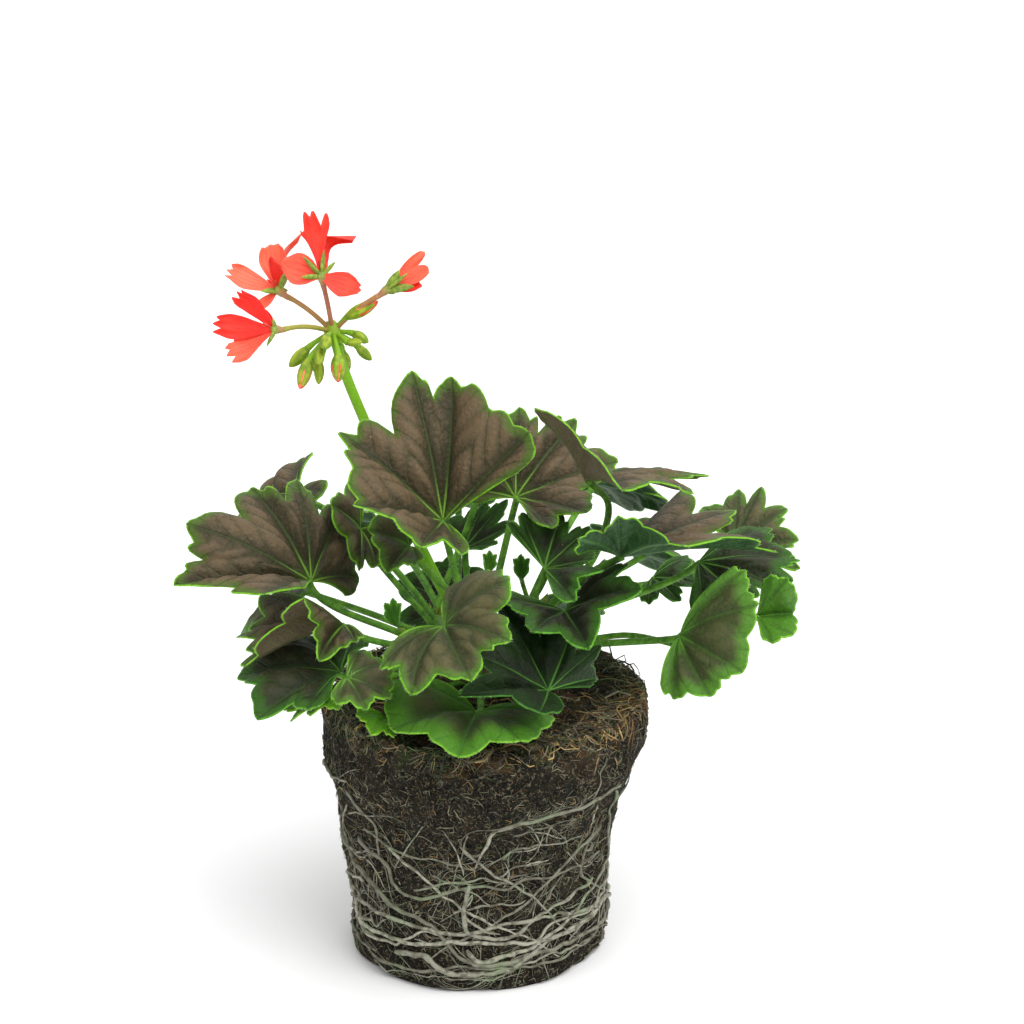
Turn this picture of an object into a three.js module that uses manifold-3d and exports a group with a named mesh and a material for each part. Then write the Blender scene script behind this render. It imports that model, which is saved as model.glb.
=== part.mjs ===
// A zonal geranium lifted out of its 12 cm pot: a root ball of peat held in a net of pale roots, five short
// shoots, bronze leaves with green edges on long stalks, and one head of narrow-petalled coral flowers.
// Millimetres, +Z up, origin at the middle of the root ball's flat base, -Y towards the viewer.
import * as THREE from "three";
import Module from "manifold-3d";
import { mergeVertices } from "three/addons/utils/BufferGeometryUtils.js";

const wasm = await Module();
wasm.setup();

const TURN = 2 * Math.PI;
const DEGREE = Math.PI / 180;
const UP = new THREE.Vector3(0, 0, 1);
const GAP = 0.35; // between pieces that touch

// The root ball as the pot shaped it: [height, radius] up its wall, with the collar of the pot above 66
const BALL_WALL = [
  [0, 43], [2.5, 45], [8, 45.6], [15, 45.3], [31, 46.5], [48, 48.3],
  [60, 50], [66, 53], [72, 55.8], [80, 57.2], [92, 57.6], [96, 56],
];
// How far the ball leans to the right at each height: [height, shift]
const BALL_LEAN = [[0, -1.2], [50, -0.4], [66, 1], [84, 3]];
const BALL_HEIGHT = 96;
const BALL_COLUMNS = 30;
const SOIL_RINGS = [48, 36, 23, 11];
const FOOT_MARKS = { count: 7, depth: 1.4, height: 7 }; // left in the ball's edge by the feet of the pot
const HOLLOW = { x: -14, y: -40, reach: 13, depth: 6 }; // a dip washed into the soil by watering

// Roots: how many circle the foot and how many run down the wall, and how thick they are
const FOOT_ROOTS = 4;
const WALL_ROOTS = 7;
const FOOT_ROOT_RADIUS = 1.1;
const WALL_ROOT_RADIUS = 0.8;
const ROOT_SIDES = 4;

const TRUNK_RADIUS = 5.2;
const TRUNK_FOOT = 74; // how far down the trunk stands in the ball
const CROWN = [0, 0, 99];
const SHOOT_RADIUS = 3.1;
// Where each shoot's tip stands
const SHOOTS = [
  [-21, -12, 119],
  [21, -10, 120],
  [-17, 19, 118],
  [20, 20, 119],
  [1, 2, 126],
];

const BLADE_THICKNESS = 0.7;
const LEAF_STALK_RADIUS = 1.3;
const LEAF_STALK_SIDES = 4;
const LEAF_STALK_STEPS = 5;
// One half of a lobe's outline: [share of the lobe's width from its middle, reach]: tip, notch, tooth, notch
const LOBE_OUTLINE = [[0, 1], [0.12, 0.93], [0.24, 0.95], [0.37, 0.85], [0.5, 0.75]];
const TOOTHED_STEPS = [-0.5, -0.24, -0.12, 0, 0.12, 0.24];
const PLAIN_STEPS = [-0.5, -0.24, 0, 0.24]; // for the small leaves and those at the back
const SMALL_LEAF = 26; // a leaf is small if its longest lobe is shorter than this
const BESIDE_GAP = 0.4; // how far the blade runs past its outer lobes, as a share of a lobe
const WAVE = 0.035; // height of the margin's waves as a share of the lobe's length

// Leaves seen from the front. Each row: the place where stalk and blade meet, the blade's lobes in order
// from one side of its gap to the other, [across, up, out] from that place as seen from VIEW degrees above
// the front, then arch and pleat as shares of its length, the shoot it grows on and how far up that shoot,
// and any places that its stalk passes on the way.
const VIEW = 20;
const FRONT_LEAVES = {
  leaf_top_front: [
    [-12, -15, 165],
    [[29, 30, 14], [3, 49, -4], [-11, 50, -2], [-35, 30, 8], [-29, 5, 28], [-6, -8, 38], [7, -11, 33]],
    0.06, 0.06, 4, 0.55,
  ],
  leaf_top_right: [
    [13, 14, 164],
    [[12, -11, 26], [24, -6, 20], [36, 12, -4], [22, 28, -16], [1, 33, -14], [-14, 20, -12], [-18, 3, -10]],
    0.06, 0.05, 4, 0.75,
  ],
  leaf_far_right_top: [
    [37, -12, 179],
    [[-16, 24, 20], [12, -3, 30], [35, -4, 20], [42, 1, -8], [26, 4, -20]],
    0.06, 0.02, 3, 0.78, [[38, 12, 138], [44, 3, 155], [45, -3, 168]],
  ],
  leaf_middle: [
    [23, -16, 148],
    [[9, -10, 28], [19, 0, 26], [17, 3, 14], [16, 14, -4], [6, 19, -8], [-8, 20, -10], [-13, 17, -12]],
    0.05, 0.05, 4, 0.35,
  ],
  leaf_right_flat: [
    [49, -12, 151],
    [[-15, 5, 34], [-2, 14, 36], [19, 5, 40], [53, 3, 4], [41, 16, -20], [24, 23, -32], [9, 13, -30]],
    0.05, 0.03, 1, 0.97, [[25, -13, 133], [38, -18, 147]],
  ],
  leaf_right_saddle: [
    [30, -20, 134],
    [[-22, 4, 12], [-11, -7, 30], [7, -12, 32], [25, 9, 22], [21, 17, 4], [13, 17, -14]],
    0.05, 0.04, 1, 0.35, [[22, -16, 121], [28, -20, 129]],
  ],
  leaf_front: [
    [-11, -45, 138],
    [[-21, -13, 16], [-11, -21, 22], [9, -17, 28], [22, -5, 26], [22, 15, 10], [8, 17, -22]],
    0.12, 0.05, 0, 0.75,
  ],
  leaf_front_shaded: [
    [24, -46, 115],
    [[17, 4, -16], [18, 15, -14], [8, 20, -12], [-17, 30, -14], [-26, 14, 12], [-29, 0, 22], [-3, -6, 26]],
    0.04, 0.05, 1, 0.2,
  ],
  leaf_front_low: [
    [0, -46, 107],
    [[-31, 11, -12], [-28, -4, 14], [-6, -13, 24], [15, -9, 24], [25, -2, -6]],
    0.1, 0.06, 4, 0.12,
  ],
  leaf_left_large: [
    [-58, -12, 142],
    [[15, 1, -24], [9, 25, -22], [-6, 37, -22], [-22, 33, -18], [-42, 19, 6], [-46, -2, 12], [-14, -4, 28]],
    0.08, 0.05, 0, 0.85,
  ],
  leaf_left_folded: [
    [-46, -25, 131],
    [[-30, 9, -24], [-38, -4, -18], [-34, -13, 8], [-12, 10, 26], [-7, -12, 18], [5, -6, 18]],
    0.06, 0.03, 0, 0.56,
  ],
  leaf_left_low: [
    [-47, -34, 117],
    [[4, 12, -24], [-17, 13, -26], [-36, 0, -8], [-27, -15, 14], [-10, -12, 20]],
    0.08, 0.05, 0, 0.42,
  ],
  leaf_left_small: [
    [-44, -52, 122],
    [[-3, -8, 10], [7, -10, 12], [15, -6, 8], [14, 5, -8], [4, 9, -12]],
    0.1, 0.05, 0, 0.28, [[-18, -24, 113], [-36, -44, 122]],
  ],
  leaf_rim_left: [
    [-50, -42, 112],
    [[-16, -6, -4], [-13, -9, 6], [-6, -6, 12], [3, -4, 12]],
    0.1, 0.05, 0, 0.12, [[-24, -23, 105]],
  ],
  leaf_rim_front: [
    [-31, -46, 105],
    [[-10, 2, 4], [-5, -5, 12], [3, -6, 11], [6, -4, 5]],
    0.1, 0.05, 4, 0.03, [[-14, -26, 102]],
  ],
  leaf_left_hanging: [
    [-42, 15, 152],
    [[-3, 18, -10], [-10, 8, 10], [0, -15, 14], [6, -14, 12], [14, 2, 8]],
    0.1, 0.04, 2, 0.4,
  ],
  leaf_behind_top: [
    [-24, -6, 153],
    [[8, 16, -6], [-6, 18, -4], [-14, 5, 6], [-7, -9, 14], [3, -6, 14]],
    0.1, 0.04, 4, 0.85,
  ],
  leaf_back_middle: [
    [-6, 35, 137],
    [[12, 2, 14], [17, 8, 8], [16, 18, -6], [8, 18, -14], [-6, 12, -12]],
    0.04, 0.03, 4, 0.3,
  ],
  leaf_right_behind: [
    [62, 25, 130],
    [[-2, -9, 12], [9, -8, 12], [16, -2, 6], [14, 8, -8]],
    0.08, 0.04, 3, 0.38,
  ],
  leaf_right_wide: [
    [77, 5, 143],
    [[0, -20, 24], [15, -15, 16], [34, -11, 6], [36, 2, -4], [26, 12, -22]],
    0.08, 0.05, 1, 0.74,
  ],
  leaf_right_back: [
    [92, 35, 139],
    [[22, -8, 14], [22, 2, 10], [19, 13, 0], [11, 21, -12], [3, 20, -14], [-10, 14, -16]],
    0.06, 0.04, 3, 0.88,
  ],
  leaf_right_green: [
    [69, -30, 129],
    [[-3, -21, 10], [9, -20, 16], [20, -12, 20], [26, 10, 16], [22, 22, 8]],
    0.12, 0.06, 1, 0.32,
  ],
  leaf_right_edge: [
    [96, -22, 133],
    [[4, 14, 8], [10, 13, 10], [13, 1, -4], [12, -6, 8], [4, -9, 12]],
    0.04, 0.03, 3, 0.26, [[50, 4, 116], [80, -16, 119]],
  ],
};

// Leaves at the sides and the back: that place, the bearing (0 to the front, 90 to the right) and height in
// degrees that the blade faces, where its middle lobe points (0 downhill, 90 to the right of someone facing
// it), its length, how steeply its lobes rise in degrees, then arch, pleat, shoot and place on it as above.
const BACK_LOBES = 5;
const BACK_SPAN = 225;
const BACK_LEAVES = {
  leaf_left_behind: [[-9, 45, 112], -10, 58, 250, 24, 4, 0.06, 0.05, 2, 0.24],
  leaf_back_left_top: [[-66, 42, 156], 284, 50, 0, 32, 4, 0.08, 0.05, 2, 0.66],
  leaf_back_left: [[-36, 66, 136], 214, 50, 4, 34, 2, 0.1, 0.05, 2, 0.55],
  leaf_back: [[-8, 74, 148], 184, 54, 350, 33, 4, 0.08, 0.05, 2, 0.42],
  leaf_back_right: [[42, 64, 153], 146, 52, 8, 36, 4, 0.08, 0.05, 3, 0.68],
  leaf_back_right_low: [[60, 62, 126], 130, 50, 350, 34, 4, 0.08, 0.05, 3, 0.5],
  leaf_left_low_back: [[-64, 30, 124], 262, 48, 0, 30, 2, 0.1, 0.05, 2, 0.12],
  leaf_back_top: [[0, 50, 169], 190, 60, 10, 26, 4, 0.06, 0.05, 2, 0.97],
  leaf_back_low: [[20, 62, 106], 170, 60, 0, 32, 2, 0.1, 0.05, 3, 0.08],
  young_leaf_left: [[-28, -22, 129], -20, 40, 190, 11, 46, 0, 0, 0, 0.99, [[-22, -13, 124]]],
  young_leaf_middle: [[3, -4, 142], 20, 40, 170, 9, 50, 0, 0, 4, 0.99],
  young_leaf_right: [[15, 12, 134], 0, 40, 180, 10, 46, 0, 0, 3, 0.97],
};

// The flower head: its stalk, then each bloom and bud as seen from the front, in the same [across, up, out]
const HEAD = [-50, 8, 226];
const FLOWER_STALK = [[0, 3, 118], [-9, 4, 127], [-21, 8, 149], [-31, 10, 172], [-39, 10, 192], [-46, 9, 211], HEAD];
const FLOWER_STALK_RADIUS = 2;
const PEDICEL_RADIUS = 0.85;
const PETAL_THICKNESS = 0.6;
const CALYX_LENGTH = 3.5;
// Each bloom: the place of its heart, then its petals: the tip, the width, how far it bends back as a share of
// its length, and the way that its inner face turns
const BLOOMS = {
  bloom_top: [
    [-53, 0, 248],
    [
      [[-3, 22, 2], 10, 0.08, [0, 0, 1]],
      [[11, 13, -2], 8, 0.25, [0.7, -0.6, 0.4]],
      [[13, -5, 2], 8.5, 0.08, [0, 0.2, 1]],
      [[-13.5, 4, 3], 10.5, 0.06, [0, 0, 1]],
      [[-6, 3, -13], 8, 0.1, [-0.2, 0.9, 0.3]],
    ],
  ],
  bloom_left: [
    [-68, 4, 242],
    [
      [[-2.7, 16.7, 1], 7.5, 0.08, [0.1, 0, 1]],
      [[0, 15, 4], 5.5, 0.1, [-0.5, -0.2, 0.8]],
      [[6.2, 20.6, -3], 5, 0.14, [1, -0.3, 0.15]],
      [[-19, 8.3, 4], 7.5, 0.06, [0.1, 0.4, 0.9]],
      [[-8.2, -5.8, 1], 4, 0.08, [0, 0.3, 1]],
    ],
  ],
  bloom_low_left: [
    [-68, -14, 233],
    [
      [[-13.5, 12.5, 0], 6.5, 0.1, [-0.1, -0.5, 0.9]],
      [[-21, 1.5, 2], 8, 0.08, [0, 0.1, 1]],
      [[-15.8, -9.5, 3], 9.5, 0.08, [-0.1, 0.5, 0.9]],
      [[-15, -3, -8], 8, 0.1, [0, 0.3, 1]],
      [[-8, 10.5, -3], 4, 0.1, [0, -0.2, 1]],
    ],
  ],
  bloom_half_open: [
    [-31, 5, 242],
    [
      [[12.8, 13, -1], 4, 0.04, [0.3, -0.3, 0.9]],
      [[14.2, 7.2, 2.5], 5.5, 0.04, [0, 0, 1]],
      [[12, 2, 0], 4.5, 0.04, [0, 0.4, 0.8]],
    ],
  ],
};
// Each bud: where it hangs from and where its tip ends, from the head, and its radius
const BUDS = [
  [[-10, -7, 0], [-15, -12, 2], 2.1],
  [[-8, -11, 6], [-11, -20, 7], 2.3],
  [[-5, -11, 1], [-5, -18, 1], 1.8],
  [[2, -9, 8], [2, -18, 9], 2.4],
  [[-2, -2, 7], [-2, -6, 14], 2.1],
  [[-4, -7, 5], [-4, -12, 11], 1.9],
  [[7, 0, 1], [12, -4, 2], 1.9],
  [[5, -4, 5], [10, -4, 8], 1.4],
  [[-5, -6, -5], [-7, -13, -8], 2],
  [[3, -6, -6], [5, -13, -8], 2],
  [[8, -4, -6], [13, -9, -8], 1.8],
  [[7, 6, 3], [15, 9, 4], 1.9],
];

// A repeatable draw from 0 to 1 for a whole number
function draw(n) {
  const x = Math.sin(n * 12.9898 + 78.233) * 43758.5453;
  return x - Math.floor(x);
}

// The straight-line value at x between [x, y] points, level past either end
function between(points, x) {
  const next = points.findIndex((p) => p[0] > x);
  if (next < 0) return points.at(-1)[1];
  if (next === 0) return points[0][1];
  const [x0, y0] = points[next - 1];
  const [x1, y1] = points[next];
  return y0 + ((y1 - y0) * (x - x0)) / (x1 - x0);
}

function vector(place) {
  return new THREE.Vector3(...place);
}

// A place as seen from the front and VIEW degrees above it: [across, up, out] as x, y and z
function seen([across, up, out]) {
  const [s, c] = [Math.sin(VIEW * DEGREE), Math.cos(VIEW * DEGREE)];
  return new THREE.Vector3(across, up * s - out * c, up * c + out * s);
}

// A closed three.js geometry as a solid that can be joined and cut
function solidOf(geometry) {
  geometry.deleteAttribute("normal");
  geometry.deleteAttribute("uv");
  const merged = mergeVertices(geometry, 1e-3);
  const mesh = new wasm.Mesh({
    numProp: 3,
    vertProperties: merged.attributes.position.array,
    triVerts: new Uint32Array(merged.index.array),
  });
  return new wasm.Manifold(mesh);
}

// A solid's largest body as a three.js geometry
function geometryOf(solid) {
  const bodies = solid.decompose();
  const largest = bodies.reduce((a, b) => (a.volume() > b.volume() ? a : b));
  const mesh = largest.getMesh();
  const geometry = new THREE.BufferGeometry();
  geometry.setAttribute("position", new THREE.BufferAttribute(new Float32Array(mesh.vertProperties), 3));
  geometry.setIndex(new THREE.BufferAttribute(new Uint32Array(mesh.triVerts), 1));
  geometry.computeVertexNormals();
  return geometry;
}

function union(solids) {
  return solids.reduce((a, b) => a.add(b));
}

// A rod of an even polygon along a curve
function tube(curve, radius, sides, steps) {
  const section = new THREE.Shape();
  for (let i = 0; i < sides; i++) {
    const a = (i / sides) * TURN;
    if (i === 0) section.moveTo(radius, 0);
    else section.lineTo(radius * Math.cos(a), radius * Math.sin(a));
  }
  section.closePath();
  return solidOf(new THREE.ExtrudeGeometry(section, { steps, extrudePath: curve, bevelEnabled: false }));
}

// A turned body between two places: shape is [share of the way, share of the radius]
function turned(start, end, radius, shape, sides) {
  const way = end.clone().sub(start);
  const length = way.length();
  const profile = [new THREE.Vector2(0, 0)];
  for (const [t, wide] of shape) profile.push(new THREE.Vector2(radius * wide, t * length));
  profile.push(new THREE.Vector2(0, length));
  const geometry = new THREE.LatheGeometry(profile, sides);
  const turn = new THREE.Quaternion().setFromUnitVectors(new THREE.Vector3(0, 1, 0), way.normalize());
  return solidOf(geometry.applyQuaternion(turn).translate(start.x, start.y, start.z));
}

// A thin closed sheet: its upper face's vertices, their normals, its triangles, and its border in order
function sheet(vertices, normals, triangles, border, thickness) {
  const count = vertices.length;
  const lower = vertices.map((v, i) => v.clone().addScaledVector(normals[i], -thickness));
  const faces = triangles.flatMap(([a, b, c]) => [a, b, c, a + count, c + count, b + count]);
  border.forEach((a, i) => {
    const b = border[(i + 1) % border.length];
    faces.push(a, a + count, b, b, a + count, b + count);
  });
  const geometry = new THREE.BufferGeometry().setFromPoints([...vertices, ...lower]);
  geometry.setIndex(faces);
  return solidOf(geometry);
}

// How far the root ball's wall stands from its axis at a bearing and height, lumps and all
function wallRadius(angle, z) {
  const lumps =
    0.9 * Math.sin(3 * angle + 0.05 * z + 1.3) +
    0.6 * Math.sin(7 * angle - 0.11 * z + 2) +
    0.4 * Math.sin(12 * angle + 0.21 * z + 4);
  const low = Math.max(0, 1 - z / FOOT_MARKS.height);
  const mark = FOOT_MARKS.depth * low * Math.max(0, Math.sin(FOOT_MARKS.count * angle)) ** 3;
  const lean = between(BALL_LEAN, z) * Math.cos(angle);
  return between(BALL_WALL, z) + lean + lumps * Math.min(1, z / 8) - mark;
}

// The height of the soil on top of the ball: a low mound at the trunk, ripples and the hollow
function soilHeight(x, y) {
  const r = Math.hypot(x, y);
  const dip = Math.exp(-((x - HOLLOW.x) ** 2 + (y - HOLLOW.y) ** 2) / HOLLOW.reach ** 2);
  const mound = 2.2 * Math.exp(-((r / 18) ** 2));
  const ripple = 0.8 * Math.sin(0.13 * x + 0.7) * Math.cos(0.16 * y) + 0.5 * Math.sin(0.31 * x - 0.27 * y);
  return BALL_HEIGHT + mound + ripple * Math.min(1, (56 - r) / 12) - HOLLOW.depth * dip;
}

// The ball is turned from its profile and then pushed in and out to its lumps, marks and soil
function rootBall(stem) {
  const profile = [[0, 0], ...BALL_WALL.map(([z, r]) => [r, z])];
  for (const r of SOIL_RINGS) profile.push([r, BALL_HEIGHT]);
  profile.push([0, BALL_HEIGHT]);
  const geometry = new THREE.LatheGeometry(profile.map(([r, z]) => new THREE.Vector2(r, z)), BALL_COLUMNS);
  geometry.rotateX(Math.PI / 2);
  const places = geometry.attributes.position;
  for (let i = 0; i < places.count; i++) {
    let [x, y, z] = [places.getX(i), places.getY(i), places.getZ(i)];
    const angle = Math.atan2(y, x);
    const onWall = Math.hypot(x, y) > SOIL_RINGS[0] + 0.01 || z < BALL_HEIGHT - 0.01;
    if (onWall && Math.hypot(x, y) > 0.01) {
      const r = wallRadius(angle, z);
      [x, y] = [r * Math.cos(angle), r * Math.sin(angle)];
    }
    if (z > BALL_HEIGHT - 0.01) z = soilHeight(x, y);
    places.setXYZ(i, x, y, z);
  }
  return solidOf(geometry).subtract(stem);
}

// One root that lies on the ball's wall from one bearing and height to another, wandering as it goes
function root(fromAngle, fromZ, toAngle, toZ, radius, seed) {
  const points = [];
  const steps = Math.max(6, Math.round((Math.abs(toAngle - fromAngle) / TURN) * 22));
  for (let i = 0; i <= steps; i++) {
    const t = i / steps;
    const angle = fromAngle + (toAngle - fromAngle) * t;
    const wander = 3 * Math.sin(9 * t + TURN * draw(seed)) * Math.sin(Math.PI * t);
    const z = fromZ + (toZ - fromZ) * t + wander;
    const r = wallRadius(angle, z) + radius + 1.1;
    points.push(new THREE.Vector3(r * Math.cos(angle), r * Math.sin(angle), z));
  }
  return tube(new THREE.CatmullRomCurve3(points, false, "centripetal"), radius, ROOT_SIDES, steps);
}

// Roots that circle the foot, crossed by roots that run down the wall, all joined where they cross
function rootNet() {
  const roots = [];
  for (let i = 0; i < FOOT_ROOTS; i++) {
    const start = TURN * draw(i);
    const z = 6 + 6 * i;
    roots.push(root(start, z, start + TURN * (0.75 + 0.2 * draw(i + 10)), z + 4, FOOT_ROOT_RADIUS, i));
  }
  for (let i = 0; i < WALL_ROOTS; i++) {
    const start = (TURN * (i + 0.5 * draw(i + 20))) / WALL_ROOTS;
    const way = i % 3 === 0 ? -1 : 1;
    const end = start + way * TURN * (0.14 + 0.14 * draw(i + 30));
    roots.push(root(start, 44 + 18 * draw(i + 40), end, 9 + 6 * draw(i + 50), WALL_ROOT_RADIUS, i + 60));
  }
  return union(roots);
}

function shootCurve(tip) {
  const [crown, end] = [vector(CROWN), vector(tip)];
  const knee = crown.clone().lerp(end, 0.5);
  knee.z -= 1.5;
  return new THREE.QuadraticBezierCurve3(crown, knee, end);
}

// The trunk in its hole and the five shoots that leave it; grown makes the same stem a little fatter
function stem(grown = 0) {
  const [foot, top] = [new THREE.Vector3(0, 0, TRUNK_FOOT - grown), new THREE.Vector3(0, 0, CROWN[2] + 3 + grown)];
  const solids = [turned(foot, top, TRUNK_RADIUS + grown, [[0, 1], [0.5, 1], [1, 0.8]], 10)];
  for (const tip of SHOOTS) solids.push(tube(shootCurve(tip), SHOOT_RADIUS + grown, 8, 4));
  return union(solids);
}

// The lobes of a leaf that faces one way and whose middle lobe points another, evenly spread
function evenLobes(bearing, height, heading, length, rise) {
  const [b, e, h] = [bearing * DEGREE, height * DEGREE, heading * DEGREE];
  const facing = new THREE.Vector3(Math.sin(b) * Math.cos(e), -Math.cos(b) * Math.cos(e), Math.sin(e));
  const downhill = UP.clone().negate().addScaledVector(facing, facing.z).normalize();
  const right = facing.clone().cross(downhill);
  const middle = downhill.multiplyScalar(Math.cos(h)).addScaledVector(right, Math.sin(h));
  const side = facing.clone().cross(middle);
  const lobes = [];
  for (let i = 0; i < BACK_LOBES; i++) {
    const t = (2 * i) / (BACK_LOBES - 1) - 1;
    const angle = (t * BACK_SPAN * DEGREE) / 2;
    const reach = length * (1 - 0.25 * t * t);
    const lobe = middle.clone().multiplyScalar(Math.cos(angle)).addScaledVector(side, Math.sin(angle));
    lobe.multiplyScalar(Math.cos(rise * DEGREE)).addScaledVector(facing, Math.sin(rise * DEGREE));
    lobes.push(lobe.multiplyScalar(reach));
  }
  return lobes;
}

// A leaf's form: its lobes, and the way that the blade faces and spreads on the whole
function leafForm(index, steps, place, lobes, arch, pleat, shoot, share, way = []) {
  const facing = new THREE.Vector3();
  const spread = new THREE.Vector3();
  lobes.forEach((lobe, i) => {
    spread.add(lobe);
    if (i > 0) facing.add(lobes[i - 1].clone().cross(lobe));
  });
  const length = Math.max(...lobes.map((lobe) => lobe.length()));
  const phase = TURN * draw(index + 200);
  facing.normalize();
  spread.addScaledVector(facing, -spread.dot(facing)).normalize();
  return { at: vector(place), lobes, arch, pleat, shoot, share, way, facing, spread, length, phase, steps };
}

// The way and distance to the blade's edge at a place across the lobes, the first lobe's tip being 0 and
// the last's the number of lobes less 1
function lobeRay(leaf, across) {
  const last = leaf.lobes.length - 1;
  const i = Math.max(0, Math.min(last - 1, Math.floor(across)));
  const past = across < 0 ? across : Math.max(0, across - last);
  const w = across - i - past + past * 2 * BESIDE_GAP;
  const [a, b] = [leaf.lobes[i], leaf.lobes[i + 1]];
  const near = Math.max(0, Math.min(1, w));
  const reach = a.length() * (1 - near) + b.length() * near;
  return a.clone().lerp(b, w).normalize().multiplyScalar(reach);
}

// A point of the blade, a share out from the stalk and at a place across the lobes: the lobes' own form,
// arched between stalk and edge, pleated up between its main veins and waved at its margin
function bladePoint(leaf, out, across) {
  const ray = lobeRay(leaf, across);
  const u = across - Math.round(across);
  const pleat = leaf.pleat * (1 - Math.cos(TURN * u)) * 0.5 * out;
  const wave = WAVE * out * out * Math.sin(TURN * 0.83 * across + leaf.phase);
  const place = leaf.at.clone().addScaledVector(ray, out * between(LOBE_OUTLINE, Math.abs(u)));
  return place.addScaledVector(leaf.facing, ray.length() * (leaf.arch * 4 * out * (1 - out) + pleat + wave));
}

function bladeNormal(leaf, out, across) {
  const step = 0.01;
  const side = bladePoint(leaf, out, across + step).sub(bladePoint(leaf, out, across - step));
  return bladePoint(leaf, out + step, across).sub(bladePoint(leaf, out - step, across)).cross(side).normalize();
}

// The blade as a thin solid: a ring of points half way out, two a lobe, and the toothed edge
function blade(leaf) {
  const edge = [];
  leaf.lobes.forEach((_, lobe) => leaf.steps.forEach((step) => edge.push(lobe + step)));
  edge.push(leaf.lobes.length - 0.5);
  const each = leaf.steps.length / 2;
  const middle = edge.filter((_, i) => i % each === 0);
  const vertices = [leaf.at.clone()];
  const normals = [leaf.facing.clone()];
  for (const [ring, out] of [[middle, 0.5], [edge, 1]]) {
    for (const across of ring) {
      vertices.push(bladePoint(leaf, out, across));
      normals.push(bladeNormal(leaf, out - 0.02, across + (across < 0 ? 0.02 : -0.02)));
    }
  }
  const triangles = [];
  const outer = 1 + middle.length;
  for (let k = 0; k < middle.length - 1; k++) {
    const [a, b, c] = [1 + k, 2 + k, outer + each * k];
    triangles.push([0, a, b], [a, c, c + 1], [a, c + 1, b]);
    for (let i = 1; i < each; i++) triangles.push([b, c + i, c + i + 1]);
  }
  const border = [0, 1];
  for (let i = 0; i < edge.length; i++) border.push(outer + i);
  border.push(middle.length);
  return sheet(vertices, normals, triangles, border, BLADE_THICKNESS);
}

// A leaf's stalk leaves its shoot outward and meets the blade from below, on the side of the gap, unless it
// has places of its own to pass between its neighbours
function leafStalk(leaf) {
  const foot = shootCurve(SHOOTS[leaf.shoot]).getPointAt(leaf.share);
  const away = leaf.at.clone().sub(foot);
  const length = away.length();
  const first = new THREE.Vector3(away.x, away.y, 0).normalize().multiplyScalar(0.5).addScaledVector(UP, 0.7);
  const last = leaf.facing.clone().multiplyScalar(0.8).addScaledVector(leaf.spread, 0.5).normalize();
  const end = leaf.at.clone().addScaledVector(leaf.spread, 1).addScaledVector(leaf.facing, 0.1);
  const near = foot.clone().addScaledVector(first, length * 0.3);
  const far = end.clone().addScaledVector(last, -length * 0.3);
  const free = new THREE.CubicBezierCurve3(foot, near, far, end);
  const led = new THREE.CatmullRomCurve3([foot, ...leaf.way.map(vector), end], false, "centripetal");
  const curve = leaf.way.length > 0 ? led : free;
  const radius = LEAF_STALK_RADIUS * Math.min(1, 0.45 + leaf.length / 45);
  return tube(curve, radius, LEAF_STALK_SIDES, LEAF_STALK_STEPS);
}

// The thin stalk of a bloom or bud, which rises a little from the head before it turns to its end
function pedicel(start, end, radius, steps) {
  const knee = start.clone().lerp(end, 0.5);
  knee.z += 0.12 * start.distanceTo(end);
  return tube(new THREE.QuadraticBezierCurve3(start, knee, end), radius, 4, steps);
}

// The stalk, the pedicels and the buds as one piece
function flowerHead() {
  const head = vector(HEAD);
  const stalk = new THREE.CatmullRomCurve3(FLOWER_STALK.map(vector));
  const solids = [tube(stalk, FLOWER_STALK_RADIUS, 6, 10)];
  const swell = [[0, 0.6], [0.5, 1], [1, 0.5]];
  solids.push(turned(head.clone().add(seen([1, -4, 0])), head.clone().add(seen([-1, 4, 0])), 3, swell, 6));
  for (const [heart] of Object.values(BLOOMS)) {
    const end = vector(heart);
    const away = end.clone().sub(head).normalize();
    solids.push(pedicel(head.clone(), end.addScaledVector(away, -CALYX_LENGTH), PEDICEL_RADIUS, 3));
  }
  for (const [from, to, radius] of BUDS) {
    const [start, end] = [head.clone().add(seen(from)), head.clone().add(seen(to))];
    solids.push(pedicel(head.clone(), start.clone().lerp(end, 0.12), PEDICEL_RADIUS * 0.9, 2));
    solids.push(turned(start, end, radius, [[0, 0.4], [0.35, 1], [0.7, 0.8], [1, 0.2]], 5));
  }
  return union(solids);
}

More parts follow.
